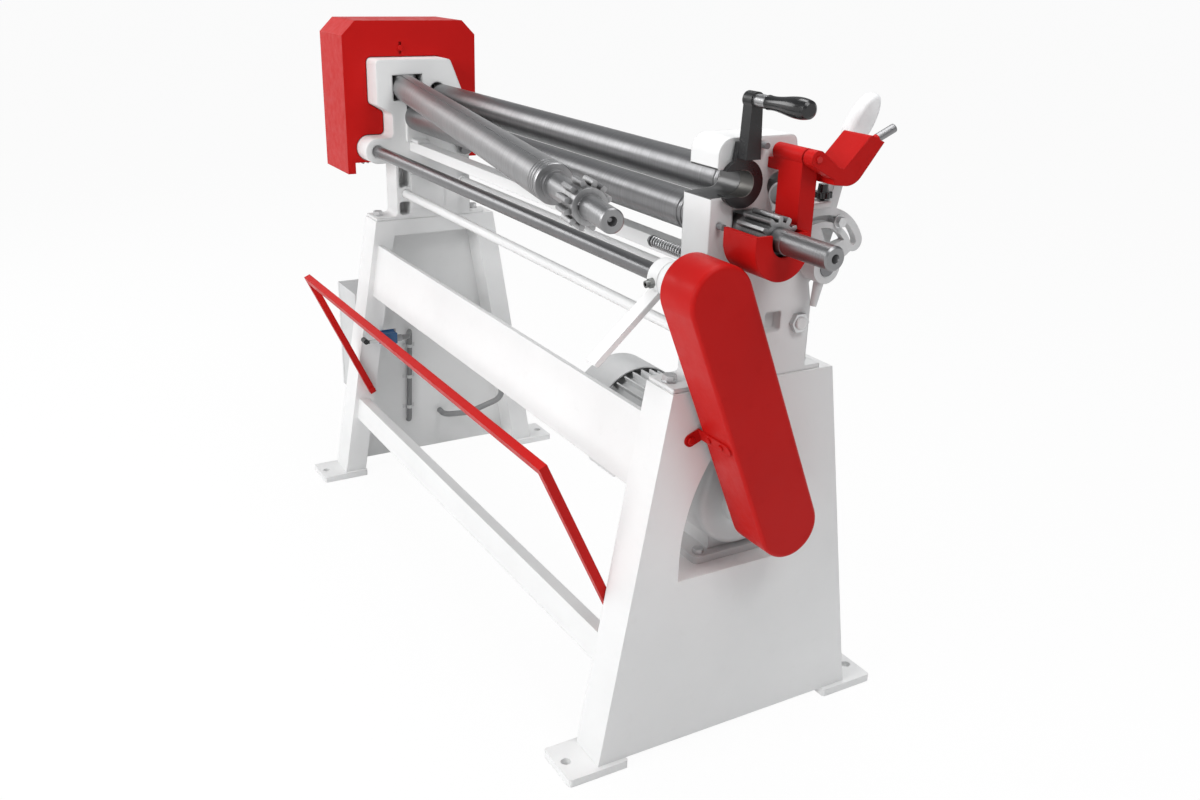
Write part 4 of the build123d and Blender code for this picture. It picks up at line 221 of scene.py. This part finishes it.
def steel(name, colour, dark, rough, scale, grain=(1, 1, 1), turn=(0, 0, 0), edge=0.0006,
          depth=0.08):
    """Bare steel: directional tool marks, oil film and darker stains."""
    n = Nodes(name)
    n.shader.inputs["Metallic"].default_value = 1.0
    lines = n.noise(scale, 4.0, grain, turn)
    stain = n.noise(7.0, 5.0, rough=0.62)
    tint = n.mix(n.span(lines, 0.0, 1.0, 0.25, 0.75), colour, tuple(c * 0.82 for c in colour))
    n.link(n.mix(n.span(stain, 0.0, 0.55, 0.52, 0.78), tint, dark), n.shader.inputs["Base Color"])
    n.link(n.span(lines, rough - 0.06, rough + 0.12, 0.2, 0.8), n.shader.inputs["Roughness"])
    n.bump(lines, depth, 0.0004, edge)
    return n


def plastic(name, colour, rough, peel=0.12, scale=700.0):
    """Moulded plastic with a fine grain."""
    n = Nodes(name)
    cloud = n.noise(24.0, 4.0)
    deep = tuple(c * 0.82 + 0.004 for c in colour)
    n.link(n.mix(n.span(cloud, 0.0, 1.0), colour, deep), n.shader.inputs["Base Color"])
    n.link(n.span(cloud, rough - 0.06, rough + 0.1), n.shader.inputs["Roughness"])
    n.bump(n.noise(scale, 3.0), peel, 0.0004, 0.0008)
    return n


def casting(name, colour, dark, rough):
    """Painted cast iron: sand texture and faint darker clouds."""
    n = Nodes(name)
    sand = n.noise(260.0, 5.0, rough=0.6)
    cloud = n.noise(14.0, 4.0)
    n.link(n.mix(n.span(cloud, 0.0, 0.6), colour, dark), n.shader.inputs["Base Color"])
    n.link(n.span(sand, rough - 0.08, rough + 0.14), n.shader.inputs["Roughness"])
    n.bump(sand, 0.22, 0.0007, 0.0016)
    return n


# Colours that several finishes share
casting_white, casting_worn = (0.79, 0.793, 0.79), (0.62, 0.62, 0.61)
signal_red, casting_red_worn = (0.48, 0.007, 0.006), (0.30, 0.006, 0.005)
pale_grey = (0.66, 0.665, 0.665)

# Grain along the rolls, and the top roll's turn at rest
roll_grain = (1, 0.02, 0.02)
roll_turn = (0, 0, math.radians(10.9))

white = paint("white_paint", (0.80, 0.803, 0.80), (0.64, 0.64, 0.63),
              rough=0.38, peel=0.05, edge=0.0016, grime=0.18, shine=0.35)
cast_white = paint("white_casting", casting_white, casting_worn,
                   rough=0.42, peel=0.16, edge=0.006, grime=0.22, shine=0.35)
lever_white = paint("white_lever", casting_white, casting_worn,
                    rough=0.42, peel=0.10, edge=0.002, grime=0.22, shine=0.35)
jaw_white = paint("white_jaw_casting", casting_white, casting_worn,
                  rough=0.42, peel=0.16, edge=0.006, grime=0.22, shine=0.35)
red = paint("red_paint", signal_red, (0.32, 0.006, 0.005),
            rough=0.36, peel=0.07, edge=0.0022, grime=0.25, shine=0.12)
red_cast = paint("red_casting", signal_red, casting_red_worn,
                 rough=0.40, peel=0.24, edge=0.003, grime=0.30, shine=0.12)
flap_red = paint("flap_red", signal_red, casting_red_worn,
                 rough=0.40, peel=0.24, edge=0.003, grime=0.30, shine=0.12)
lock_black = paint("lock_black", (0.010, 0.010, 0.011), (0.05, 0.05, 0.05),
                   rough=0.28, peel=0.14, edge=0.0014, grime=0.45)
arm_black = paint("arm_black", (0.012, 0.012, 0.013), (0.04, 0.04, 0.04),
                  rough=0.34, peel=0.10, edge=0.0008, grime=0.4)
grey = casting("grey_paint", pale_grey, (0.56, 0.565, 0.565), rough=0.42)
cabinet = paint("cabinet_paint", (0.60, 0.605, 0.605), (0.50, 0.50, 0.50),
                rough=0.42, peel=0.20, edge=0.0012, grime=0.2)
top_steel = steel("top_roll_steel", (0.30, 0.30, 0.305), (0.21, 0.21, 0.215),
                  rough=0.36, scale=420.0, grain=roll_grain, turn=roll_turn)
roll_steel = steel("roll_steel", (0.28, 0.28, 0.285), (0.19, 0.19, 0.195),
                   rough=0.36, scale=420.0, grain=roll_grain)
shaft_steel = steel("shaft_steel", (0.21, 0.21, 0.215), (0.12, 0.12, 0.12),
                    rough=0.32, scale=380.0, grain=(1, 0.03, 0.03))
pin_steel = paint("pin_steel", (0.20, 0.20, 0.205), (0.13, 0.13, 0.13),
                  rough=0.36, peel=0.05, edge=0.0006, grime=0.3)
gear_steel = steel("gear_steel", (0.40, 0.40, 0.405), (0.16, 0.155, 0.15),
                   rough=0.36, scale=300.0, grain=(1, 1, 0.2), edge=0.0008, depth=0.14)
# Painted shade with dark grease in the hollows of the gears, sprockets and chain
gear_steel.grease_and_shade_hollows((0.03, 0.029, 0.028), reach=0.016)
bar_steel = steel("milled_steel", (0.46, 0.46, 0.465), (0.28, 0.28, 0.28),
                  rough=0.40, scale=300.0, grain=(0.05, 1, 1))
zinc = steel("zinc_plate", (0.62, 0.62, 0.625), (0.44, 0.44, 0.44),
             rough=0.30, scale=160.0, edge=0.0008)
iron = casting("lever_iron", pale_grey, (0.55, 0.55, 0.55), rough=0.46)
pale_grip = plastic("handle_plastic", (0.82, 0.822, 0.825), rough=0.34, peel=0.05)
dark_grip = plastic("grip_plastic", (0.008, 0.008, 0.009), rough=0.20, peel=0.03)
blue_plastic = plastic("switch_plastic", (0.018, 0.085, 0.21), rough=0.42)
fan_plastic = plastic("fan_plastic", (0.03, 0.03, 0.03), rough=0.5)
hose_plastic = plastic("hose_plastic", (0.22, 0.222, 0.225), rough=0.40, peel=0.2, scale=420.0)
rubber = plastic("gasket_rubber", (0.02, 0.02, 0.02), rough=0.6, peel=0.2)
pipe_grey = paint("conduit_paint", (0.20, 0.203, 0.205), (0.14, 0.14, 0.14),
                  rough=0.38, peel=0.06, edge=0.0008, grime=0.3)
bush_steel = steel("bush_steel", (0.40, 0.34, 0.24), (0.22, 0.18, 0.12),
                   rough=0.36, scale=260.0, grain=(1, 0.1, 0.1))

# Bare steel in the jaw of the right housing
jaw_box = ((0.6565, 0.7295), (-0.125, -0.04), (1.0085, 1.0555))
jaw = jaw_white.both(*(jaw_white.within(v, *ends) for v, ends in zip(jaw_white.axes(), jaw_box)))
jaw_white.overlay(jaw, (0.16, 0.16, 0.16), rough=0.38, metal=1.0)

# Bare rod in the hinged guard
rod_x, rod_y, rod_z, rod_radius, rod_foot = 0.828, 0.106, 1.098, 0.0078, 0.0128
way_y, way_z = 0.918, 0.395
x, y, z = flap_red.axes()
dy, dz = flap_red.number("SUBTRACT", y, rod_y), flap_red.number("SUBTRACT", z, rod_z)
along = flap_red.number("ADD", flap_red.number("MULTIPLY", dy, way_y),
                        flap_red.number("MULTIPLY", dz, way_z))
across = flap_red.number("SUBTRACT", flap_red.number("MULTIPLY", dz, way_y),
                         flap_red.number("MULTIPLY", dy, way_z))
rod = flap_red.both(flap_red.round(x, across, (rod_x, 0.0), rod_radius),
                    flap_red.above(along, rod_foot))
flap_red.overlay(rod, (0.24, 0.24, 0.245), rough=0.36, metal=1.0)

# Bare sleeve and neck seat of the lock lever
lock_y, sleeve_z, seat_z = -0.066, 1.1585, 1.0325
x, y, z = lock_black.axes()
sleeve = lock_black.both(lock_black.round(y, z, (lock_y, sleeve_z), 0.0108),
                         lock_black.within(x, 0.7673, 0.7925))
lock_black.overlay(sleeve, (0.34, 0.34, 0.345), rough=0.34, metal=1.0)
seat = lock_black.round(y, z, (lock_y, seat_z), 0.0212)
lock_black.overlay(seat, (0.17, 0.165, 0.155), rough=0.42, metal=1.0)

# Dark steel nut in the control lever's hub, and painted shade as a black dot in the screw's well
screw_x, nut_z, well_z = 0.683, 0.8742, 0.8738
nut_back, well_back = -0.1812, -0.1860
x, y, z = lever_white.axes()
nut = lever_white.both(lever_white.round(x, z, (screw_x, nut_z), 0.0088),
                       lever_white.below(y, nut_back))
lever_white.overlay(nut, (0.20, 0.205, 0.20), rough=0.34, metal=1.0)
# Black dot of painted shade in the screw's well
screw_well_shade = lever_white.both(lever_white.round(x, z, (screw_x, well_z), 0.0034),
                        lever_white.below(y, well_back))
lever_white.overlay(screw_well_shade, (0.01, 0.01, 0.01), rough=0.6, metal=0.0)

# Red pin end at the guards
pin_end = 0.79
pin_steel.overlay(pin_steel.above(pin_steel.axes()[0], pin_end), signal_red, rough=0.40, metal=0.0)

# Zinc arm with a dark roller, and the switch's grey port
arm_ends = (-0.2105, -0.1665)
arm_black.overlay(arm_black.within(arm_black.axes()[1], *arm_ends), (0.5, 0.5, 0.5),
                  rough=0.3, metal=1.0)
port_front = -0.1306
blue_plastic.overlay(blue_plastic.above(blue_plastic.axes()[1], port_front), (0.30, 0.305, 0.31),
                     rough=0.4, metal=0.0)

# Pale clip plates
plate_face = -0.7281
pipe_grey.overlay(pipe_grey.below(pipe_grey.axes()[0], plate_face), (0.62, 0.62, 0.62),
                  rough=0.4, metal=0.0)

finish = {
    white: ["left_stand", "right_stand", "upper_beam", "lower_beam", "front_tie_rod",
            "rear_tie_rod", "carriage_bar", "web_covers"],
    cast_white: ["left_housing", "carriage_bearings"],
    lever_white: ["control_lever"],
    jaw_white: ["right_housing"],
    red: ["left_gear_cover", "chain_cover", "trip_bar", "cover_strap", "trip_pivots"],
    red_cast: ["lower_guard"],
    flap_red: ["upper_guard"],
    lock_black: ["lock_lever"],
    arm_black: ["switch_arm"],
    grey: ["motor_body", "motor_cowl", "reducer", "terminal_box", "gear_bracket"],
    cabinet: ["electric_box", "box_door"],
    top_steel: ["top_roll"],
    roll_steel: ["lower_roll", "rear_roll"],
    shaft_steel: ["drive_shaft", "spring_rod", "adjuster_shaft", "left_jack_screw",
                  "right_jack_screw"],
    pin_steel: ["housing_pins"],
    gear_steel: ["top_roll_gear", "lower_roll_gear", "pinion", "bull_gear", "reducer_sprocket",
                 "shaft_sprocket", "chain", "swing_drum"],
    bar_steel: ["rear_slides"],
    zinc: ["housing_bolts", "tie_rod_nuts", "clamp_bolt", "reducer_bolts", "detent_spring"],
    iron: ["quadrant_lever"],
    pale_grip: ["lever_handle"],
    dark_grip: ["lock_grip", "star_knob"],
    blue_plastic: ["limit_switch"],
    fan_plastic: ["motor_fan"],
    hose_plastic: ["flexible_conduit"],
    pipe_grey: ["rigid_conduit"],
    bush_steel: ["shaft_bushes"],
}
for look, names in finish.items():
    for name in names:
        obj = nodes[name]
        obj.data.materials.clear()
        obj.data.materials.append(look.material)


def piece(name, body, look, build):
    """New small piece that rides on a body."""
    shape = bmesh.new()
    build(shape)
    data = bpy.data.meshes.new(name)
    shape.to_mesh(data)
    shape.free()
    data.materials.append(look.material)
    obj = bpy.data.objects.new(name, data)
    scene.collection.objects.link(obj)
    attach(obj, body)


def circle(shape, foot, turn, radius, height, sides):
    """Ring of corners at a height over a foot."""
    corners = []
    for k in range(sides):
        angle = 2 * math.pi * k / sides
        corner = Vector((radius * math.cos(angle), radius * math.sin(angle), height))
        corners.append(shape.verts.new(foot + (turn @ corner)))
    return corners


def join(shape, low, high):
    """Band of faces between two rings."""
    count = len(low)
    for k in range(count):
        shape.faces.new((low[k], low[(k + 1) % count], high[(k + 1) % count], high[k]))


def stud(shape, foot, way, radius, height, sides=24):
    """Round or six-sided head with a bevelled top, standing on a face."""
    turn = Vector(way).to_track_quat("Z", "Y").to_matrix().to_4x4()
    rings = [circle(shape, Vector(foot), turn, radius * share, lift * height, sides)
             for lift, share in ((0.0, 1.0), (0.72, 1.0), (1.0, 0.82))]
    for low, high in zip(rings, rings[1:]):
        join(shape, low, high)
    shape.faces.new(rings[-1])
    shape.faces.new(list(reversed(rings[0])))


# Screws of the chain cover's hook
def hook_screws(shape):
    out = Vector((0, -0.9242, -0.3820))
    rim = Vector((0, -0.10734, 0.62385))
    side_x, side_out, strap_out = 0.7371, 0.022, 0.0031
    stud(shape, Vector((side_x, 0, 0)) + rim + out * side_out, (1, 0, 0),
         radius=0.0068, height=0.0045, sides=6)
    for strap_x in (0.763, 0.797):
        stud(shape, Vector((strap_x, 0, 0)) + rim + out * strap_out, out,
             radius=0.0055, height=0.003)


piece("hook_screws", "base", red, hook_screws)


# Gasket in the seam of the electric box
def gasket(shape):
    near, far, width = -0.8642, -0.8658, 0.008
    front, back, low, high = -0.2052, 0.0932, 0.1918, 0.4902
    for a, b, c, d in ((front, back, low, low + width),
                       (front, back, high - width, high),
                       (front, front + width, low + width, high - width),
                       (back - width, back, low + width, high - width)):
        middle = Matrix.Translation(((near + far) / 2, (a + b) / 2, (c + d) / 2))
        bmesh.ops.create_cube(shape, size=1.0,
                              matrix=middle @ Matrix.Diagonal((near - far, b - a, d - c, 1)))


piece("box_gasket", "base", rubber, gasket)


# Bands of the conduit's clips
def clip_bands(shape):
    pipe_x, bend_y, bend_z, lean = -0.721, -0.060, 0.374, 10 / 262
    half, inner, outer, sides = 0.0045, 0.0072, 0.0080, 32
    turn = Vector((0, lean, 1)).normalized().to_track_quat("Z", "Y").to_matrix().to_4x4()
    for height in (0.330, 0.240, 0.150):
        middle = Vector((pipe_x, bend_y - (bend_z - height) * lean, height))
        rings = [circle(shape, middle, turn, radius, end, sides)
                 for end, radius in ((-half, inner), (-half, outer), (half, outer), (half, inner))]
        for low, high in zip(rings, rings[1:] + rings[:1]):
            join(shape, low, high)


piece("clip_bands", "base", cabinet, clip_bands)


# Saddle clips that hold the hose on the back of the upper beam
def ribbon(shape, path, x, half, thick):
    """Bent strip of sheet across X, thickened to the left of its path in the YZ plane."""
    rings = []
    for i, (y, z) in enumerate(path):
        (y0, z0), (y1, z1) = path[max(i - 1, 0)], path[min(i + 1, len(path) - 1)]
        size = math.hypot(y1 - y0, z1 - z0)
        ny, nz = -(z1 - z0) / size * thick, (y1 - y0) / size * thick
        rings.append([shape.verts.new(p) for p in (
            (x - half, y, z), (x + half, y, z),
            (x + half, y + ny, z + nz), (x - half, y + ny, z + nz))])
    for low, high in zip(rings, rings[1:]):
        join(shape, low, high)
    shape.faces.new(list(reversed(rings[0])))
    shape.faces.new(rings[-1])


def hose_clips(shape):
    hose_y, hose_z, grip = -0.150, 0.538, 0.0083
    angles = [math.radians(a) for a in range(105, -106, -15)]
    bend = [(hose_y + grip * math.cos(a), hose_z + grip * math.sin(a)) for a in angles]
    path = [(-0.1618, 0.562), (-0.1636, 0.552), *bend, (-0.1681, 0.525), (-0.1698, 0.515)]
    beam_back = (0, 0.986, -0.167)
    for x in (-0.40, -0.15, 0.10, 0.28):
        ribbon(shape, path, x, half=0.007, thick=0.0009)
        for y, z in ((-0.1616, 0.5575), (-0.1680, 0.5197)):
            stud(shape, (x, y, z), beam_back, radius=0.0042, height=0.0026, sides=6)


piece("hose_clips", "base", zinc, hose_clips)

# Floor that curves up far away
sides = 96
sweep = ((60.0, 0.0), (61.5, 0.4), (62.6, 1.5), (63.0, 3.0), (63.0, 14.0))
angles = [2 * math.pi * k / sides for k in range(sides)]
corners = [(reach * math.cos(a), reach * math.sin(a), height)
           for reach, height in sweep for a in angles]
steps = [(k, (k + 1) % sides) for k in range(sides)]
panels = [(low + k, low + after, low + sides + after, low + sides + k)
          for low in range(0, sides * (len(sweep) - 1), sides) for k, after in steps]
mesh = bpy.data.meshes.new("floor")
mesh.from_pydata(corners, [], [tuple(range(sides)), *panels])
floor = bpy.data.objects.new("floor", mesh)
scene.collection.objects.link(floor)

# White to the eye, pale where it takes the shadow
n = Nodes("floor")
n.shader.inputs["Base Color"].default_value = (0.86, 0.86, 0.86, 1)
n.shader.inputs["Roughness"].default_value = 0.8
rays = n.tree.nodes.new("ShaderNodeLightPath").outputs
seen = n.number("MAXIMUM", rays["Is Camera Ray"], rays["Is Glossy Ray"])
seen = n.number("MAXIMUM", seen, rays["Is Transmission Ray"])
share = n.number("MULTIPLY", seen, 0.95)
glow = n.tree.nodes.new("ShaderNodeEmission")
glow.inputs["Color"].default_value = (1, 1, 1, 1)
glow.inputs["Strength"].default_value = 1.0
blend = n.tree.nodes.new("ShaderNodeMixShader")
for source, socket in zip((share, n.shader.outputs[0], glow.outputs[0]), blend.inputs):
    n.link(source, socket)
n.link(blend.outputs[0], n.tree.nodes["Material Output"].inputs["Surface"])
mesh.materials.append(n.material)
